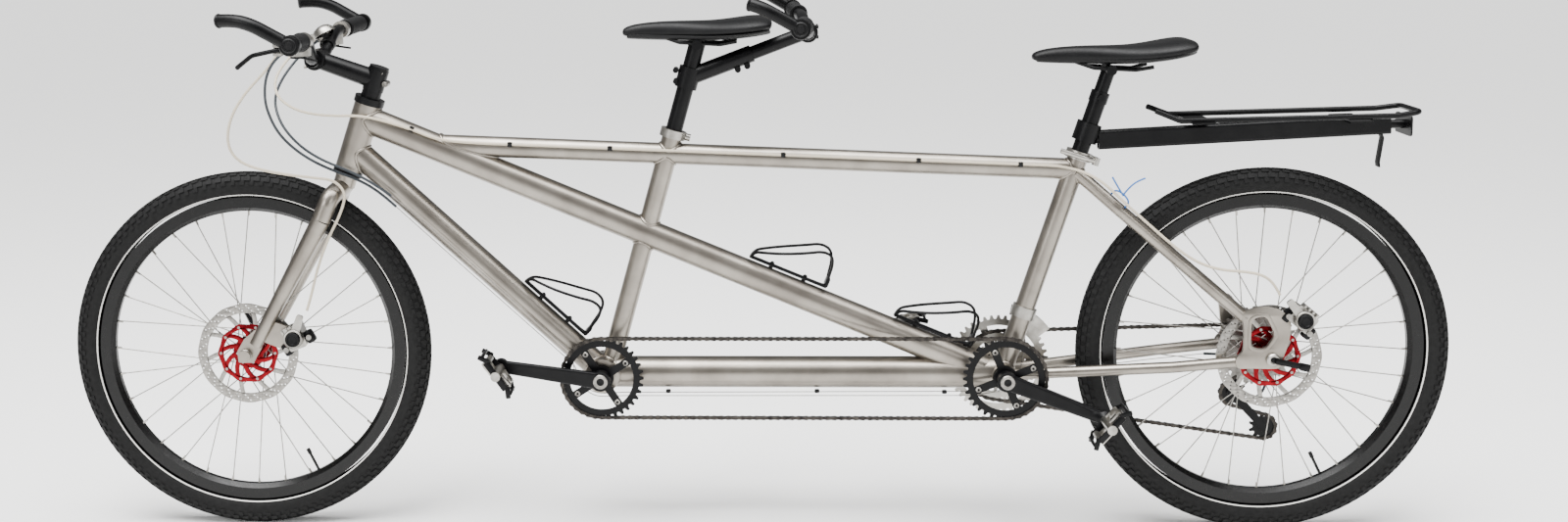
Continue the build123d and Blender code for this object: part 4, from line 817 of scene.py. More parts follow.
def wrapped_line(circles):
    """Runs and arcs of a loop round circles of (x, z, radius, turn), each with its length."""
    runs, pieces = [], []
    for first, second in zip(circles, circles[1:] + circles[:1]):
        ax, az, a_radius = first[0], first[1], first[2] * first[3]
        bx, bz, b_radius = second[0], second[1], second[2] * second[3]
        angle = math.atan2(bz - az, bx - ax) + math.asin((a_radius - b_radius) / math.hypot(bx - ax, bz - az))
        side = Vector((math.sin(angle), -math.cos(angle)))
        runs.append((Vector((ax, az)) + a_radius * side, Vector((bx, bz)) + b_radius * side))
    for index, (start, end) in enumerate(runs):
        x, z, radius, sense = circles[index]
        arrive, leave = runs[index - 1][1], start
        begin = math.atan2(arrive.y - z, arrive.x - x)
        wrapped = (math.atan2(leave.y - z, leave.x - x) - begin) * sense % (2 * math.pi)
        pieces.append((radius * wrapped, "arc", (x, z, radius, sense, begin)))
        pieces.append(((end - start).length, "run", (start, end)))
    return pieces


def at_distance(pieces, distance):
    """The (x, z) point at a distance along a wrapped loop."""
    distance %= sum(length for length, _, _ in pieces)
    for length, kind, data in pieces:
        if distance <= length:
            break
        distance -= length
    if kind == "run":
        point = data[0].lerp(data[1], distance / length)
        return point.x, point.y
    x, z, radius, sense, begin = data
    angle = begin + sense * distance / radius
    return x + radius * math.cos(angle), z + radius * math.sin(angle)


def link_outline(length, half_height, waist):
    """The eight shaped outline of a chain plate, along X."""
    half = length / 2
    points = []
    for end, first in ((1, -60), (-1, 120)):
        for step in range(5):
            angle = math.radians(first + 30 * step)
            points.append((end * half + half_height * math.cos(angle), half_height * math.sin(angle)))
        points.append((0, end * waist))
    return points


def link_mesh(name, gap, thickness):
    """A pair of chain plates with their rollers or pins, centred on the origin along X."""
    bm = bmesh.new()
    for side in (-1, 1):
        flat = [bm.verts.new((x, side * gap, z)) for x, z in link_outline(chain_pitch, 4.1 * MM, 2.5 * MM)]
        face = bm.faces.new(flat)
        raised = bmesh.ops.extrude_face_region(bm, geom=[face])
        bmesh.ops.translate(
            bm, vec=(0, side * thickness, 0),
            verts=[v for v in raised["geom"] if isinstance(v, bmesh.types.BMVert)],
        )
    for end in (-0.5, 0.5):
        reach = gap + thickness + 0.5 * MM if name == "outer" else gap
        radius = 1.8 * MM if name == "outer" else 3.8 * MM
        cylinder(bm, (end * chain_pitch, -reach, 0), (end * chain_pitch, reach, 0), radius, 8)
    bmesh.ops.recalc_face_normals(bm, faces=bm.faces)
    mesh = bpy.data.meshes.new(name)
    bm.to_mesh(mesh)
    bm.free()
    return mesh


def chain(name, circles, y, stands_for):
    """A roller chain round its sprockets, with a whole number of links."""
    pieces = wrapped_line(circles)
    length = sum(piece[0] for piece in pieces)
    count = round(length / chain_pitch / 2) * 2
    links = [link_mesh("outer", 2.75 * MM, 0.8 * MM), link_mesh("inner", 1.85 * MM, 0.8 * MM)]
    bm = bmesh.new()
    for index in range(count):
        ax, az = at_distance(pieces, index * length / count)
        bx, bz = at_distance(pieces, (index + 1) * length / count)
        known = len(bm.verts)
        bm.from_mesh(links[index % 2])
        bm.verts.ensure_lookup_table()
        turned = Matrix.Rotation(-math.atan2(bz - az, bx - ax), 4, "Y")
        matrix = Matrix.Translation(((ax + bx) / 2, y, (az + bz) / 2)) @ turned
        bmesh.ops.transform(bm, matrix=matrix, verts=bm.verts[known:])
    mesh = bpy.data.meshes.new(name)
    bm.to_mesh(mesh)
    bm.free()
    place(name, mesh, "frame", "chain_steel", [stands_for])
    print(name, "has", count, "links and is", round(length, 3), "m long")


def circle_at(point, teeth, sense=1):
    """A sprocket's circle for a chain to wrap."""
    return (point[0], point[2], pitch_radius(teeth), sense)


chain(
    "timing_chain_links",
    [circle_at(captain_bracket, timing_teeth), circle_at(stoker_bracket, timing_teeth)], timing_line,
    "timing_chain",
)
chain("drive_chain_links",
      [circle_at(stoker_bracket, middle_teeth), circle_at(pivot("lower_pulley_spin"), pulley_teeth),
       circle_at(pivot("upper_pulley_spin"), pulley_teeth, -1), circle_at(rear_axle, cog_teeth)],
      drive_line, "drive_chain")

# %% [markdown]
# ## Saddles
#
# A saddle is foam on a shell under a tight cover. The section changes from a slim round nose to a broad
# tail, so it is lofted through a few cross sections and smoothed by subdivision, and its centre is pressed
# down a little along a shallow channel. A thin shell with a lip hides the foam's underside. Foam this
# firm keeps its shape, so subdivision serves it better than cloth.

# %% Saddle shapes
saddle_stations = (
    (0.00, 13, 5.0), (0.03, 17, 11.0), (0.12, 20, 17.0), (0.3, 23, 20.5), (0.48, 33, 20.5), (0.62, 50, 20.5),
    (0.76, 67, 22.5), (0.88, 75, 23.0), (0.96, 70, 17.5), (1.00, 56, 7.5),
)


def section_loop(bm, place_at, half_width, height, depth, tilt):
    """One closed cross section: a crowned top, round shoulders and a lip below."""
    loop = []
    for angle in (90, 62, 38, 12, -18, -52, -90, -128, -162, 168, 142, 118):
        turned = math.radians(angle)
        y = half_width * (abs(math.cos(turned)) ** 0.8) * (1 if math.cos(turned) > 0 else -1)
        z = height * math.sin(turned) if angle > 0 else depth * math.sin(turned)
        if angle == 90:
            z -= tilt
            y = 0
        if angle == -90:
            y = 0
            z *= 0.6
        loop.append(bm.verts.new(place_at + Vector((0, y, z))))
    return loop


def padded_saddle(name, node, body, rise, nose_drop):
    """A saddle in its CAD solid's box, with its tail raised and its nose bowed down."""
    low, high = (Vector(corner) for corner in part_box(node))
    length = high.x - low.x
    seat_line = high.z - 24 * MM
    bm = bmesh.new()
    loops = []
    for share, half_width, height in saddle_stations:
        bow = rise * max(share - 0.55, 0) ** 2 * 5 - nose_drop * (1 - share) ** 6
        bow -= 0.004 * math.sin(math.pi * share)
        at = Vector((low.x + share * length, 0, seat_line - 8 * MM + bow))
        loops.append(
            section_loop(
                bm, at, half_width * MM, height * MM, min(height, 15) * MM, 2.2 * MM * (share > 0.1),
            )
        )
    for first, second in zip(loops, loops[1:]):
        for index in range(len(first)):
            after = (index + 1) % len(first)
            bm.faces.new((first[index], first[after], second[after], second[index]))
    bm.faces.new(loops[0])
    bm.faces.new(list(reversed(loops[-1])))
    obj = place(name, finish_mesh(bm, name, 80), body, "saddle_cover", [node])
    levels = obj.modifiers.new("smooth", "SUBSURF")
    levels.levels = levels.render_levels = 3
    return low, high, seat_line


def saddle_shell(name, body, low, high, seat_line, rise):
    """The moulded shell under the foam, with its rim."""
    bm = bmesh.new()
    length = high.x - low.x
    loops = []
    for share, half_width, _ in saddle_stations[1:]:
        bow = rise * max(share - 0.55, 0) ** 2 * 5 - 0.004 * math.sin(math.pi * share)
        at = Vector((low.x + share * length * 0.985, 0, seat_line - 20 * MM + bow))
        loops.append(
            [
                bm.verts.new(at + Vector((0, y * half_width * MM * 0.93, z * MM)))
                for y, z in ((-1, 6), (-0.85, -1), (-0.4, -2.5), (0, -3), (0.4, -2.5), (0.85, -1), (1, 6))
            ]
        )
    for first, second in zip(loops, loops[1:]):
        for index in range(len(first) - 1):
            bm.faces.new((first[index], first[index + 1], second[index + 1], second[index]))
    obj = place(name, finish_mesh(bm, name, 60), body, "black_plastic")
    wall = obj.modifiers.new("wall", "SOLIDIFY")
    wall.thickness = 2.2 * MM
    levels = obj.modifiers.new("smooth", "SUBSURF")
    levels.levels = levels.render_levels = 2


for rider, saddle_body, rise in (("captain", "captain_post", 0.008), ("stoker", "suspension_head", 0.014)):
    box_low, box_high, line = padded_saddle(
        f"{rider}_saddle_cover", f"{rider}_saddle", saddle_body, rise, 0.006,
    )
    saddle_shell(f"{rider}_saddle_shell", saddle_body, box_low, box_high, line, rise)
print("saddles made")

# %% [markdown]
# ## Grips, bar ends and bar plugs
#
# A grip is a rubber sleeve with raised rings, spun about the bar's axis and then turned to lie on it.
# Its profile is a row of small steps, so the rings catch the light the way moulded rubber does.

# %% Grips
bar_flat_y, bar_bend_y, bar_end_y = 42 * MM, 105 * MM, 292 * MM
bar_radius, grip_radius, grip_length = 11.1 * MM, 16 * MM, 118 * MM
front_clamp = Vector((-779, 0, 863)) * MM
front_rise = Vector((8, 0, 42)) * MM
front_sweep = Vector((23, 0, 47)) * MM


def axis_matrix(start, end):
    """A matrix that lays +Z along a line, from its start."""
    along = Vector(end) - Vector(start)
    return Matrix.Translation(start) @ along.to_track_quat("Z", "Y").to_matrix().to_4x4()


def spun(bm, profile, matrix, steps=32):
    """Spins a closed profile of (r, z) about Z, then lays it by a matrix."""
    verts = [bm.verts.new((r, 0, z)) for r, z in profile]
    edges = [bm.edges.new(pair) for pair in zip(verts, verts[1:] + verts[:1])]
    known = set(bm.verts) - set(verts)
    bmesh.ops.spin(
        bm, geom=verts + edges, cent=(0, 0, 0), axis=(0, 0, 1), angle=2 * math.pi, steps=steps,
        use_merge=True,
    )
    bmesh.ops.transform(bm, matrix=matrix, verts=[vert for vert in bm.verts if vert not in known])


def grip_profile(length, inner, outer, rings=16):
    """A grip's half section: a flange, rings and a rounded outer end."""
    profile = [(inner, 0), (outer - 1.2 * MM, 0), (outer + 1.0 * MM, 1.5 * MM), (outer + 1.0 * MM, 4 * MM)]
    step = (length - 12 * MM) / rings
    for ring in range(rings):
        start = 6 * MM + ring * step
        profile += [
            (outer - 1.6 * MM, start), (outer - 0.2 * MM, start + step * 0.25),
            (outer - 0.2 * MM, start + step * 0.75), (outer - 1.6 * MM, start + step * 0.95),
        ]
    return profile + [(outer - 0.6 * MM, length - 3 * MM), (outer - 2 * MM, length), (inner, length)]


def bar_ends_of(clamp_at, rise, sweep, side):
    """The inner and outer ends of a grip on one side."""
    end = clamp_at + Vector((sweep.x, side * bar_end_y, sweep.z))
    bend = clamp_at + Vector((rise.x, side * bar_bend_y, rise.z))
    return end + (bend - end).normalized() * grip_length, end


def grips(name, clamp_at, rise, sweep, body, node):
    """A pair of ringed rubber grips."""
    bm = bmesh.new()
    for side in (-1, 1):
        inner_end, outer_end = bar_ends_of(clamp_at, rise, sweep, side)
        direction = (outer_end - inner_end).normalized()
        spun(
            bm, grip_profile(99 * MM, bar_radius + 0.3 * MM, grip_radius),
            axis_matrix(inner_end, inner_end + direction),
        )
    place(name, finish_mesh(bm, name, 30), body, "grip_rubber", [node])


def bar_plugs(name, clamp_at, rise, sweep, body):
    """The ringed plugs that close the bar's ends."""
    bm = bmesh.new()
    for side in (-1, 1):
        inner_end, outer_end = bar_ends_of(clamp_at, rise, sweep, side)
        direction = (outer_end - inner_end).normalized()
        profile = [
            (0.1 * MM, -4 * MM), (9 * MM, -4 * MM), (9 * MM, 0), (12 * MM, 0), (12.6 * MM, 1.6 * MM),
            (10.6 * MM, 3 * MM), (9.4 * MM, 1.8 * MM), (7.4 * MM, 1.8 * MM), (6.4 * MM, 3 * MM),
            (0.1 * MM, 3.2 * MM),
        ]
        spun(bm, profile, axis_matrix(outer_end + direction * 0.5 * MM, outer_end + direction))
    place(name, finish_mesh(bm, name, 30), body, "black_plastic")


stoker_axis = Vector(joints["stoker_stem_reach"]["axis"]).normalized()
stoker_stem_at = Vector((-109.4, 0, 825.7)) * MM
stoker_clamp_reach, slider_start, slider_radius = 228 * MM, 38 * MM, 12.5 * MM
stoker_clamp_at = stoker_stem_at + stoker_axis * stoker_clamp_reach
stoker_rise, stoker_sweep = Vector((-6, 0, 20)) * MM, Vector((-20, 0, 25)) * MM
grips("captain_grip_sleeves", front_clamp, front_rise, front_sweep, "steering", "captain_grips")
grips("stoker_grip_sleeves", stoker_clamp_at, stoker_rise, stoker_sweep, "stoker_bar", "stoker_grips")
bar_plugs("captain_bar_plugs", front_clamp, front_rise, front_sweep, "steering")
bar_plugs("stoker_bar_plugs", stoker_clamp_at, stoker_rise, stoker_sweep, "stoker_bar")
print("grips made")

# %% [markdown]
# ## Bottle cages
#
# A cage is one bent alloy rod on each side of a flat spine, bolted to the tube. The rod leaves the spine's
# top, arches over where the bottle stands, and comes back down to the foot. Wires are curves with a round
# section, which is how a bender makes them.

# %% Cages
down_line = (Vector((-715.9, 0, 698.3)) * MM, Vector((-269.0, 0, 286.0)) * MM, 0.763, 23.5 * MM)
middle_line = (Vector((-696.8, 0, 755.6)) * MM, Vector((454.9, 0, 278.0)) * MM, 0.654, 25 * MM)
rear_line = (middle_line[0], middle_line[1], 0.88, 25 * MM)


def bottle_cage(name, line, stands_for=()):
    """Two arched wires, a spine and its two bolts on a tube."""
    start, end, share, tube_radius = line
    along = (end - start).normalized()
    normal = Vector((-along.z, 0, along.x))
    base = start.lerp(end, share) + normal * (tube_radius + 6 * MM)

    def spot(a, n, y):
        return tuple(base + along * (a * MM) + normal * (n * MM) + Vector((0, y * MM, 0)))

    for side in (-1, 1):
        path = [
            spot(-72, 2, side * 5), spot(-70, 12, side * 9), spot(-52, 20, side * 24),
            spot(-20, 34, side * 38), spot(18, 52, side * 40), spot(40, 64, side * 38),
            spot(60, 62, side * 30), spot(68, 44, side * 22), spot(70, 22, side * 14),
            spot(74, 4, side * 8), spot(72, 0, side * 4), spot(50, 0, side * 4),
        ]
        wire(f"{name}_{'left' if side < 0 else 'right'}_arm", path, 2.6 * MM, "frame", "black_alloy",
             stands_for if side < 0 else ())
    bm = bmesh.new()
    lie = Matrix.Translation(base) @ Matrix((along, Vector((0, 1, 0)), -normal)).transposed().to_4x4()
    block(bm, (150 * MM, 12 * MM, 5 * MM), lie, 1.5 * MM)
    for distance in (-32, 32):
        at = base + along * (distance * MM)
        cylinder(bm, at - normal * (6 * MM), at + normal * (5 * MM), 4 * MM, 12)
        cylinder(bm, at + normal * (4 * MM), at + normal * (6.5 * MM), 2.6 * MM, 6)
    block(bm, (7 * MM, 34 * MM, 18 * MM), lie @ Matrix.Translation((72 * MM, 0, -10 * MM)), 3 * MM)
    place(f"{name}_spine", finish_mesh(bm, name), "frame", "black_alloy")


bottle_cage("captain_cage", down_line, ["bottle_cages"])
bottle_cage("middle_cage", middle_line)
bottle_cage("rear_cage", rear_line)

# %% [markdown]
# ## Pedals
#
# These pedals clip to a shoe on both sides, inside a small cage. Each has a barrel on the crank's axle,
# two curved claws, a spring coil and two side plates with cut outs. It stands tilted, as a free pedal does.

# %% Pedals
def claw(bm, matrix, turn_about):
    """One sprung claw: a cross bar, two arms and the hook that takes the cleat."""
    spin = matrix @ Matrix.Rotation(turn_about, 4, "Y")
    block(bm, (6 * MM, 38 * MM, 6 * MM), spin @ Matrix.Translation((27 * MM, 0, 7 * MM)), 2 * MM)
    for side in (-1, 1):
        block(
            bm, (26 * MM, 4 * MM, 9 * MM), spin @ Matrix.Translation((18 * MM, side * 17 * MM, 6 * MM)),
            1.5 * MM,
        )
    block(bm, (12 * MM, 22 * MM, 3.5 * MM), spin @ Matrix.Translation((21 * MM, 0, 11.5 * MM)), 1.4 * MM)


def pedal(name, node, body, tilt):
    """A double sided clip pedal with its small cage."""
    low, high = (Vector(corner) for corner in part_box(node))
    at = (low + high) / 2
    half = (high.y - low.y) / 2
    matrix = Matrix.Translation(at) @ Matrix.Rotation(math.radians(tilt), 4, "Y")
    steel = bmesh.new()
    for turn_about in (0, math.pi):
        claw(steel, matrix, turn_about)
        spring = matrix @ Matrix.Rotation(turn_about, 4, "Y") @ Matrix.Translation((27 * MM, 0, -1 * MM))
        for coil in range(7):
            y = (coil - 3) * 4.2 * MM
            ring = spring @ Matrix.Translation((0, y, 0)) @ Matrix.Rotation(math.pi / 2, 4, "X")
            bmesh.ops.create_cone(
                steel, cap_ends=True, segments=14, radius1=6.2 * MM, radius2=6.2 * MM, depth=3 * MM,
                matrix=ring,
            )
    cylinder(steel, at - Vector((0, half * 0.98, 0)), at + Vector((0, half * 0.98, 0)), 8.5 * MM, 24)
    place(f"{name}_mechanism", finish_mesh(steel, name), body, "bare_alloy", [node])
    cage = bmesh.new()
    for side in (-1, 1):
        frame_bar = matrix @ Matrix.Translation((0, side * 25 * MM, 0))
        block(cage, (60 * MM, 4 * MM, 12 * MM), frame_bar, 2 * MM)
        for end in (-1, 1):
            block(
                cage, (22 * MM, 4 * MM, 9 * MM),
                frame_bar @ Matrix.Translation((end * 36 * MM, 0, 0)) @ Matrix.Rotation(end * 0.5, 4, "Y"),
                2 * MM,
            )
    for end in (-1, 1):
        block(cage, (5 * MM, 50 * MM, 9 * MM), matrix @ Matrix.Translation((end * 41 * MM, 0, 0)), 2 * MM)
    place(f"{name}_cage", finish_mesh(cage, name), body, "black_alloy")


for pedal_name, tilt in (("captain_left_pedal", 55), ("captain_right_pedal", 20), ("stoker_left_pedal", -48),
                         ("stoker_right_pedal", -15)):
    pedal(pedal_name + "_part", pedal_name, pedal_name, tilt)
print("pedals made")

# %% [markdown]
# ## Rear dropouts and wheel ends
#
# The left dropout is a forged plate with one large rounded window, through which the red hub shows, and
# a raised border. It is a flat outline with a hole and a rolled edge, and a second, wider border lies on
# it. The right one is smaller and carries the hanger. A quick release lever closes each axle.

# %% Dropouts
def rounded(points, radius, steps=5):
    """An outline with its corners rounded by quadratic curves."""
    out = []
    for index, point in enumerate(points):
        before, corner = Vector(points[index - 1]), Vector(point)
        after = Vector(points[(index + 1) % len(points)])
        near_before, near_after = (before - corner), (after - corner)
        reach = min(radius, near_before.length * 0.48, near_after.length * 0.48)
        start, end = corner + near_before.normalized() * reach, corner + near_after.normalized() * reach
        for step in range(steps + 1):
            share = step / steps
            spot = start.lerp(corner, share).lerp(corner.lerp(end, share), share)
            out.append((spot.x, spot.y))
    return out


def in_metres(points):
    """Outline points in metres."""
    return [(x * MM, z * MM) for x, z in points]


left_plate = rounded(
    in_metres(
        [
            (-56, 84), (-20, 96), (14, 88), (30, 66), (26, 30), (15, -2), (12, -15), (-8, -16), (-30, -15),
            (-62, -16), (-64, 3), (-50, 14), (-50, 58),
        ]
    ),
    12 * MM,
)
hub_window = rounded(in_metres([(-39, 74), (-14, 80), (4, 44), (-14, 17), (-40, 22)]), 11 * MM)
window_lip = rounded(in_metres([(-43, 78), (-11, 85), (10, 44), (-13, 12), (-44, 18)]), 13 * MM)
right_plate = rounded(
    in_metres(
        [
            (-58, 84), (-38, 84), (6, 18), (15, 0), (19, -38), (5, -41), (-8, -17), (-62, -17), (-62, 3),
            (-50, 13),
        ]
    ),
    8 * MM,
)
dropout_thickness, left_y, right_y = 7 * MM, -76 * MM, 76 * MM
left_centre = Vector((rear_axle.x, left_y, rear_axle.z))
right_centre = Vector((rear_axle.x, right_y, rear_axle.z))
plates("left_dropout_plate", [[left_plate, hub_window]], dropout_thickness, left_centre, 1.4 * MM, "frame",
       "frame_aluminium", ["dropouts"])
plates(
    "left_dropout_border", [[window_lip, hub_window]], 2.4 * MM, left_centre - Vector((0, 3.4 * MM, 0)),
    0.7 * MM, "frame", "frame_aluminium",
)
plates(
    "right_dropout_plate", [[right_plate]], dropout_thickness, right_centre, 1.4 * MM, "frame",
    "frame_aluminium",
)


def axle_end(name, centre, y_start, direction, body, lever_angle=None):
    """The end of an axle: a ringed nut, and a quick release lever if it has one."""
    at = Vector((centre.x, y_start, centre.z))
    out = Vector((0, direction, 0))
    bm = bmesh.new()
    profile = [
        (0.1 * MM, 0), (11 * MM, 0), (11.6 * MM, 1.2 * MM), (11.6 * MM, 4.5 * MM), (9.5 * MM, 6.5 * MM),
        (6.5 * MM, 6.5 * MM), (5.5 * MM, 4.6 * MM), (0.1 * MM, 4.4 * MM),
    ]
    spun(bm, profile, axis_matrix(at, at + out))
    place(f"{name}_nut", finish_mesh(bm, name), body, "bare_alloy")
    bm = bmesh.new()
    spun(
        bm, [(0.1 * MM, 4 * MM), (5.2 * MM, 4 * MM), (4.6 * MM, 7 * MM), (0.1 * MM, 7.4 * MM)],
        axis_matrix(at, at + out), 20,
    )
    if lever_angle is not None:
        reach = Vector((math.cos(lever_angle), 0, math.sin(lever_angle)))
        base = at + out * (7 * MM)
        lay = Matrix.Translation(base + reach * (30 * MM) + out * (2 * MM))
        lay = lay @ Matrix((reach, out, reach.cross(out))).transposed().to_4x4()
        block(bm, (56 * MM, 5 * MM, 11 * MM), lay, 2.2 * MM)
        block(bm, (18 * MM, 6 * MM, 14 * MM), lay @ Matrix.Translation((24 * MM, 1.5 * MM, 0)), 2.6 * MM)
    place(f"{name}_cap", finish_mesh(bm, name), body, "black_alloy")


axle_end("rear_axle_left", rear_axle, left_y - 3.5 * MM, -1, "frame", math.radians(-12))
axle_end("rear_axle_right", rear_axle, right_y + 3.5 * MM, 1, "frame")
axle_end("front_axle_left", front_axle, -58.5 * MM, -1, "steering")
axle_end("front_axle_right", front_axle, 58.5 * MM, 1, "steering", math.radians(120))

# %% [markdown]
# ## Disc calipers
#
# Each caliper is a forged body with cooling ribs. On its outer face is the round black knob that sets the
# pad, inside a pale ring, and beside it the black mount that bolts it to the frame.

# %% Calipers
def caliper_knob(name, arm_node, body):
    """The pad knob and its pale ring, on the brake's arm."""
    outer_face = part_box(arm_node)[0][1]
    pivot_at = pivot(arm_node.replace("_arm", "_swing"))
    at = Vector((pivot_at.x, outer_face + 1 * MM, pivot_at.z))
    face = axis_matrix(at, at - Vector((0, 1, 0)))
    bm = bmesh.new()
    spun(
        bm,
        [
            (13.5 * MM, -3 * MM), (17 * MM, -3 * MM), (17.6 * MM, 3 * MM), (16.4 * MM, 5 * MM),
            (13.8 * MM, 4.4 * MM),
        ],
        face, 40,
    )
    place(f"{name}_ring", finish_mesh(bm, name), body, "bare_alloy")
    bm = bmesh.new()
    spun(
        bm,
        [
            (0.1 * MM, -1 * MM), (13.4 * MM, -1 * MM), (13.4 * MM, 6 * MM), (12 * MM, 8 * MM),
            (9 * MM, 7.4 * MM), (8 * MM, 6 * MM), (0.1 * MM, 5.6 * MM),
        ],
        face, 40,
    )
    place(f"{name}_knob", finish_mesh(bm, name), body, "black_alloy")


def caliper(name, node, body, lean):
    """The caliper's ribs, mount and bolts."""
    low, high = (Vector(corner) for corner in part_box(node))
    at = Vector(((low.x + high.x) / 2, low.y, (low.z + high.z) / 2))
    out = Vector((0, -1, 0))
    turned = Matrix.Translation(at) @ Matrix.Rotation(lean, 4, "Y")
    bm = bmesh.new()
    for rib in range(4):
        spot = turned @ Matrix.Translation(((rib - 1.5) * 9 * MM, 12 * MM, 19 * MM))
        block(bm, (5 * MM, 18 * MM, 9 * MM), spot, 1.2 * MM)
    place(f"{name}_ribs", finish_mesh(bm, name), body, "bare_alloy")
    bm = bmesh.new()
    for side in (-1, 1):
        spot = turned @ Matrix.Translation((side * 24 * MM, 14 * MM, -12 * MM))
        block(bm, (16 * MM, 18 * MM, 24 * MM), spot, 4 * MM)
    place(f"{name}_mount", finish_mesh(bm, name), body, "black_alloy")
    bm = bmesh.new()
    for side in (-1, 1):
        spot = turned @ Vector((side * 24 * MM, 5 * MM, -12 * MM))
        cylinder(bm, spot, spot + out * (4 * MM), 5 * MM, 18)
        cylinder(bm, spot + out * (3 * MM), spot + out * (4.6 * MM), 2.5 * MM, 6)
    place(f"{name}_bolts", finish_mesh(bm, name), body, "stainless")


caliper("front_brake", "front_caliper", "steering", math.radians(-30))
caliper("rear_brake", "rear_caliper", "frame", math.radians(40))
caliper_knob("front_pad", "front_caliper_arm", "front_caliper_arm")
caliper_knob("rear_pad", "rear_caliper_arm", "rear_caliper_arm")

# %% [markdown]
# ## The stoker's rings
#
# The three rings on the right are polished aluminium, while the arms and the timing ring are black. The
# modelled crankset is one solid, so a copy of its mesh is merged and cut into the two finishes by its
# distance across the bicycle.

# %% Divide the crankset by finish
def divided(name, node, body, finish, belongs, stands_for=()):
    """A piece made of the faces of a CAD node's mesh that pass a test on their centre."""
    bm = bmesh.new()
    bm.from_mesh(frame["nodes"][node].data)
    bmesh.ops.remove_doubles(bm, verts=bm.verts, dist=1e-6)
    others = [face for face in bm.faces if not belongs(face.calc_center_median())]
    bmesh.ops.delete(bm, geom=others, context="FACES")
    mesh = bpy.data.meshes.new(name)
    bm.to_mesh(mesh)
    bm.free()
    mesh.set_sharp_from_angle(angle=math.radians(30))
    return place(name, mesh, body, finish, stands_for)


def on_drive_rings(point):
    """Whether a point is on the rings at the right, outside the spindle."""
    reach = math.hypot(point.x - stoker_bracket.x, point.z - stoker_bracket.z)
    return 38.5 * MM < point.y < 57.5 * MM and reach > 14 * MM


divided(
    "stoker_arms", "stoker_crankset", "stoker_crank", "black_alloy",
    lambda point: not on_drive_rings(point), ["stoker_crankset"],
)
divided("stoker_drive_rings", "stoker_crankset", "stoker_crank", "bare_alloy", on_drive_rings)

# %% [markdown]
# ## Crank bolts and chainring bolts
#
# The left arms are held by a wide pale washer round a black socket bolt, and four bolts hold each ring to
# its spider. They are small turned pieces, spun from a profile.

# %% Crank and ring bolts
def crank_trim(name, centre, body):
    """Bolts and washers at the middle of a crankset, and its ring bolts on the left."""
    bright, dark = bmesh.new(), bmesh.new()
    for side in (-1, 1):
        at = Vector((centre.x, side * 75.5 * MM, centre.z))
        face = axis_matrix(at, at + Vector((0, side, 0)))
        spun(
            bright,
            [(7 * MM, 0), (13 * MM, 0), (13 * MM, 1.6 * MM), (11.8 * MM, 2.6 * MM), (7 * MM, 2.2 * MM)],
            face,
        )
        spun(
            dark,
            [
                (0.1 * MM, 0.5 * MM), (7 * MM, 0.5 * MM), (6.6 * MM, 2.6 * MM), (4.4 * MM, 2.6 * MM),
                (4.2 * MM, 0.9 * MM), (0.1 * MM, 0.8 * MM),
            ],
            face, 24,
        )
    for arm in range(4):
        angle = math.radians(33 if name == "captain" else 22) + math.pi / 2 * arm
        spot = Vector(
            (centre.x + 52 * MM * math.cos(angle), timing_line, centre.z + 52 * MM * math.sin(angle))
        )
        spun(
            bright,
            [(2.4 * MM, 0), (5 * MM, 0), (5 * MM, 1.4 * MM), (4.2 * MM, 2 * MM), (2.4 * MM, 1.6 * MM)],
            axis_matrix(spot - Vector((0, 1 * MM, 0)), spot - Vector((0, 2 * MM, 0))), 18,
        )
    place(f"{name}_crank_washers", finish_mesh(bright, name), body, "stainless")
    place(f"{name}_crank_bolts", finish_mesh(dark, name), body, "black_plastic")


crank_trim("captain", captain_bracket, "captain_crank")
crank_trim("stoker", stoker_bracket, "stoker_crank")

# %% [markdown]
# ## Stem, collars and small fittings
#
# The stem has two bolts at its back and four in the face plate that holds the bar. A bell sits on the bar's
# right half. The tubes carry cable clips, and a blue nylon tie holds the brake cable to the left seat stay.

# %% Stem bolts and bell
def bolt_row(bm, spots, direction, head, depth):
    """Round bolt heads with hexagon sockets at several spots."""
    for spot in spots:
        spot, out = Vector(spot), Vector(direction).normalized()
        spun(bm, [(0.1 * MM, 0), (head, 0), (head, depth * 0.8), (head * 0.85, depth), (head * 0.55, depth),
                  (head * 0.5, depth * 0.45), (0.1 * MM, depth * 0.4)], axis_matrix(spot, spot + out), 20)


stem_middle = Vector((-679.5, 0, 829)) * MM
bm = bmesh.new()
for lift in (-12, 10):
    spot = stem_middle + Vector((-0.317, 0, 0.948)) * (lift * MM) + Vector((21 * MM, 0, 0))
    cylinder(bm, spot + Vector((0, -13 * MM, 0)), spot + Vector((0, 13 * MM, 0)), 5.4 * MM, 20)
    bolt_row(bm, [spot + Vector((0, -12 * MM, 0))], (0, -1, 0), 4.4 * MM, 4 * MM)
bolt_row(
    bm,
    [
        front_clamp + Vector((x * MM, y * MM, z * MM))
        for x, y, z in ((-15, -19, 10), (-15, 19, 10), (-15, -19, -12), (-15, 19, -12))
    ],
    (-1, 0, 0), 3.4 * MM, 5 * MM,
)
place("stem_bolts", finish_mesh(bm, "stem_bolts"), "steering", "stainless")
bm = bmesh.new()
bell_at = front_clamp + Vector((-2, 74, 40)) * MM
bell = [
    (0.1 * MM, 17 * MM), (7 * MM, 16.4 * MM), (14 * MM, 13.5 * MM), (19 * MM, 8 * MM), (21.5 * MM, 0),
    (20.4 * MM, 0), (18 * MM, 7 * MM), (13 * MM, 12.2 * MM), (6.6 * MM, 15 * MM), (0.1 * MM, 15.6 * MM),
]
spun(bm, bell, axis_matrix(bell_at, bell_at + Vector((-0.5, 0.1, 0.9))), 40)
place("bell_dome", finish_mesh(bm, "bell", 50), "steering", "bare_alloy")
bm = bmesh.new()
cylinder(bm, front_clamp + Vector((2, 74, 24)) * MM, bell_at, 6 * MM, 16)
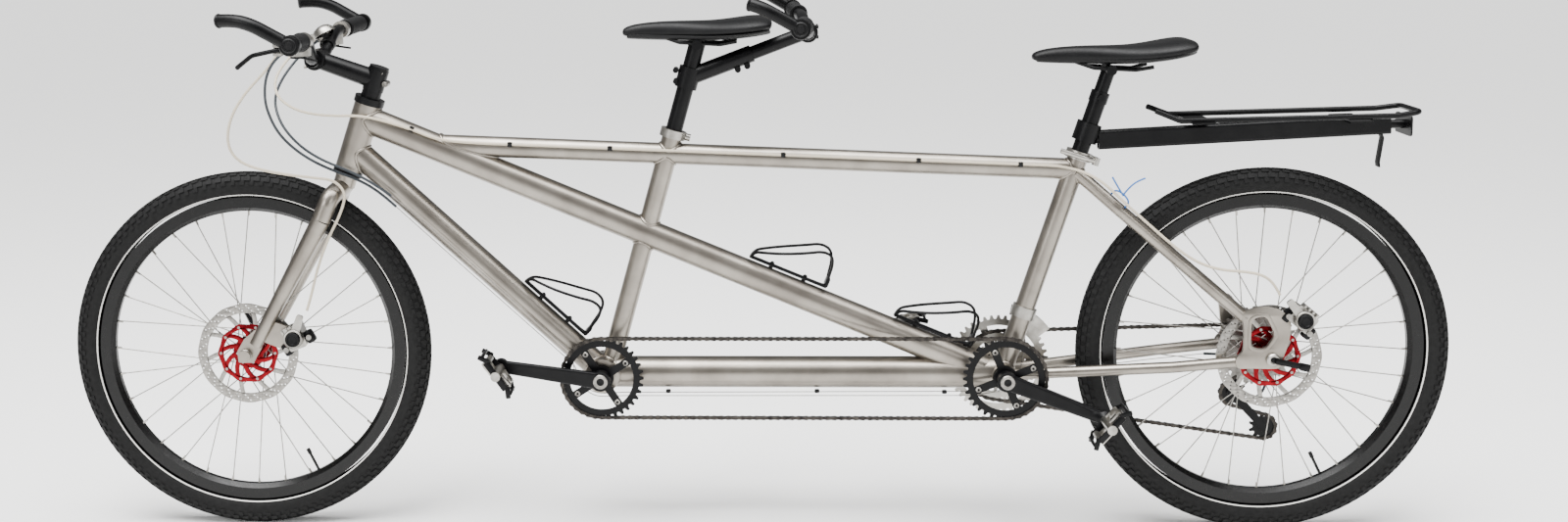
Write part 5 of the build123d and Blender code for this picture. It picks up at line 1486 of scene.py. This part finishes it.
spun(bm, [(11.4 * MM, -6 * MM), (14 * MM, -6 * MM), (14 * MM, 6 * MM), (11.4 * MM, 6 * MM)],
     axis_matrix(front_clamp + Vector((3, 74, 21)) * MM, front_clamp + Vector((5, 84, 25)) * MM), 28)
place("bell_mount", finish_mesh(bm, "bell_mount"), "steering", "black_plastic")


# %% Cable clips and the blue tie
def clips(name, spots, tall):
    """Small black clips that hold a cable to a tube."""
    bm = bmesh.new()
    for x, y, z, lean in spots:
        lay = Matrix.Translation(Vector((x, y, z)) * MM) @ Matrix.Rotation(math.radians(lean), 4, "Y")
        block(bm, (9 * MM, 7 * MM, tall * MM), lay, 2 * MM)
    place(name, finish_mesh(bm, name), "frame", "black_plastic")


clips(
    "top_tube_clips",
    [
        (-607, -22, 738, 22), (-430, -22, 709, 2), (-250, -22, 701, 2), (60, -22, 688, 2),
        (300, -22, 677, 2), (480, -22, 669, 2),
    ],
    9,
)
clips("boom_clips", [(-150, -14, 253, 0), (120, -12, 253, 0), (350, -12, 252, 0)], 7)
tie_spots = [
    (644, -36, 626), (654, -58, 622), (664, -64, 608), (658, -50, 594), (645, -34, 596), (636, -24, 612),
]
wire("blue_tie_loop", metres(tie_spots), 1.6 * MM, "frame", "blue_nylon", closed=True)
wire(
    "blue_tie_tail", metres([(654, -58, 620), (662, -66, 634), (676, -68, 646), (690, -64, 650)]), 1.5 * MM,
    "frame", "blue_nylon",
)
wire(
    "blue_tie_end", metres([(654, -58, 618), (640, -62, 640), (634, -60, 652)]), 1.5 * MM, "frame",
    "blue_nylon",
)

# %% [markdown]
# ## Rack strap
#
# A short rubber strap hangs from the rack's tail. It is a bent strip with a real thickness.

# %% Strap
bm = bmesh.new()
strap_points = [(1104, 725), (1112, 722), (1116, 712), (1113, 690), (1110, 668), (1111, 660)]
sides = [[bm.verts.new(Vector((x, y, z)) * MM) for x, z in strap_points] for y in (-10, 10)]
for index in range(len(strap_points) - 1):
    bm.faces.new((sides[0][index], sides[0][index + 1], sides[1][index + 1], sides[1][index]))
strap = place("rack_strap", finish_mesh(bm, "rack_strap"), "stoker_post", "tyre_rubber")
thicken = strap.modifiers.new("thickness", "SOLIDIFY")
thicken.thickness = 2.4 * MM
print("fittings made")

# %% [markdown]
# ## Bars and bar ends
#
# A bar is one tube bent in smooth curves, and its horns are forged with a steady sweep. A curve with
# a round section says that best, and a short spun ring clamps each horn on the bar.

# %% Handlebars
def handlebar(name, clamp_at, rise, sweep, reach, tip, body, node):
    """A riser bar with its clamp bulge, two horns and their clamps."""
    bend = clamp_at + Vector((rise.x, -bar_bend_y, rise.z))
    end = clamp_at + Vector((sweep.x, -bar_end_y, sweep.z))
    left = [
        clamp_at + Vector((0, -bar_flat_y, 0)), clamp_at + Vector((rise.x * 0.5, -68 * MM, rise.z * 0.4)),
        bend,
    ]
    left += [bend.lerp(end, 0.25), end]
    across = [Vector((point.x, -point.y, point.z)) for point in left]
    wire(
        f"{name}_tube", [tuple(point) for point in reversed(left)] + [tuple(point) for point in across],
        bar_radius, body, "black_alloy", [node],
    )
    bm = bmesh.new()
    bulge = [(11 * MM, -40 * MM), (12.9 * MM, -30 * MM), (12.9 * MM, 30 * MM), (11 * MM, 40 * MM)]
    spun(bm, bulge, axis_matrix(clamp_at, clamp_at + Vector((0, 1, 0))))
    for side in (-1, 1):
        root = clamp_at + Vector((sweep.x, side * (bar_end_y - 9 * MM), sweep.z))
        ring = [
            (11.3 * MM, -9.5 * MM), (16.2 * MM, -9.5 * MM), (17.4 * MM, -7.5 * MM), (17.4 * MM, 7.5 * MM),
            (16.2 * MM, 9.5 * MM), (11.3 * MM, 9.5 * MM),
        ]
        spun(bm, ring, axis_matrix(root, root + Vector((0, side, 0))))
        out, end = Vector(
            (reach[0], side * reach[1], reach[2])
        ) * MM, Vector((tip[0], side * tip[1], tip[2])) * MM
        path = [
            root + out * 0.1, root + out * 0.45, root + out * 0.82,
            root + out.lerp(end, 0.4) + Vector((0, 0, 1.5 * MM)), root + end,
        ]
        wire(
            f"{name}_{'left' if side < 0 else 'right'}_horn", [tuple(point) for point in path], 11.6 * MM,
            body, "black_alloy",
        )
        direction = (path[-1] - path[-2]).normalized()
        cap = [
            (0.1 * MM, -1 * MM), (11.9 * MM, -1 * MM), (12.4 * MM, 1 * MM), (11.4 * MM, 3.4 * MM),
            (8 * MM, 4.6 * MM), (0.1 * MM, 5 * MM),
        ]
        spun(bm, cap, axis_matrix(path[-1] - direction * (1.5 * MM), path[-1] + direction))
    place(f"{name}_clamps", finish_mesh(bm, name), body, "black_alloy")


handlebar(
    "captain_bar", front_clamp, front_rise, front_sweep, (-74, 6, 42), (-120, -8, 41), "steering",
    "handlebar",
)
handlebar(
    "stoker_bar_part", stoker_clamp_at, stoker_rise, stoker_sweep, (-52, 5, 30), (-82, -6, 41),
    "stoker_bar", "stoker_handlebar",
)
bm = bmesh.new()
cylinder(
    bm, stoker_stem_at + stoker_axis * slider_start, stoker_clamp_at - stoker_axis * (10 * MM),
    slider_radius, 40,
)
spun(
    bm,
    [
        (12.8 * MM, -24 * MM), (17 * MM, -24 * MM), (18 * MM, -22 * MM), (18 * MM, 22 * MM),
        (17 * MM, 24 * MM), (12.8 * MM, 24 * MM),
    ],
    axis_matrix(stoker_clamp_at, stoker_clamp_at + Vector((0, 1, 0))), 40,
)
bolt_row(
    bm, [stoker_clamp_at + Vector((15, y, z)) * MM for y in (-16, 16) for z in (-8, 10)], (1, 0, 0),
    3.2 * MM, 4 * MM,
)
place("stoker_stem_slider", finish_mesh(bm, "slider"), "stoker_bar", "black_alloy")
print("bars made")

# %% [markdown]
# ## Weld beads
#
# Aluminium tubes are welded and then filed smooth, so each joint has a soft round bead. The bead follows the
# line where one cylinder leaves another: each line along the branch tube meets the main tube's surface where
# its distance from the main axis equals the main radius, which is a quadratic with one outer root.

# %% Welds
def weld(name, branch, branch_radius, main, main_radius, bead=2.8):
    """A bead where a branch tube leaves a main tube; branch runs outwards from the main tube's axis."""
    start, end = (Vector((x, y, z)) * MM for x, y, z in branch)
    origin, main_end = (Vector((x, y, z)) * MM for x, y, z in main)
    outward, axis = (end - start).normalized(), (main_end - origin).normalized()
    side = outward.orthogonal().normalized()
    other = outward.cross(side)
    points = []
    for step in range(28):
        turned = math.tau * step / 28
        base = start + (side * math.cos(turned) + other * math.sin(turned)) * (branch_radius * MM)
        slope = outward - axis * outward.dot(axis)
        offset = (base - origin) - axis * (base - origin).dot(axis)
        a, b, c = slope.dot(slope), 2 * slope.dot(offset), offset.dot(offset) - (main_radius * MM) ** 2
        root = (-b + math.sqrt(max(b * b - 4 * a * c, 0))) / (2 * a)
        points.append(tuple(base + outward * root))
    wire(name, points, bead * MM, "frame", "frame_aluminium", closed=True)


head_line = ((-728, 0, 662.3), (-688, 0, 781.7))
diagonal_line = ((-696.8, 0, 755.6), (454.9, 0, 278))
top_line = ((-582.2, 0, 707.1), (577, 0, 657.4))
stoker_line = ((454.9, 0, 286), (587.6, 0, 689.7))
front_shell_line, rear_shell_line = ((-269, -30, 286), (-269, 30, 286)), ((454.9, -30, 286), (454.9, 30, 286))
captain_low, captain_cross, captain_high, captain_top = (
    (-259, 0, 286), (-187.4, 0, 544.3), (-147.4, 0, 688.4), (-135.3, 0, 732.2))
welds = (
    ("head_diagonal", diagonal_line, 25, head_line, 25),
    ("head_down", ((-715.9, 0, 698.3), (-269, 0, 286)), 23.5, head_line, 25),
    ("shell_down", ((-269, 0, 286), (-715.9, 0, 698.3)), 23.5, front_shell_line, 31),
    ("shell_boom", ((-269, 0, 286), (454.9, 0, 286)), 28.5, front_shell_line, 31),
    ("shell_captain", (captain_low, captain_cross), 18, front_shell_line, 31),
    ("diagonal_captain_low", (captain_cross, captain_low), 18, diagonal_line, 25),
    ("diagonal_captain_high", (captain_cross, captain_high), 18, diagonal_line, 25),
    ("top_captain_low", (captain_high, captain_cross), 18, top_line, 19),
    ("top_captain_high", (captain_high, captain_top), 18, top_line, 19),
    ("top_diagonal", top_line, 19, diagonal_line, 25),
    ("top_stoker", (top_line[1], top_line[0]), 17.8, stoker_line, 18),
    ("shell_stoker", stoker_line, 18, rear_shell_line, 22),
    ("left_stay", ((582.8, -6, 650.8), (647, -46, 593.5)), 11.5, stoker_line, 18),
    ("right_stay", ((582.8, 6, 650.8), (647, 46, 593.5)), 11.5, stoker_line, 18),
)
for weld_name, branch, branch_radius, main, main_radius in welds:
    weld(f"weld_{weld_name}", branch, branch_radius, main, main_radius)
print(len(welds), "welds made")
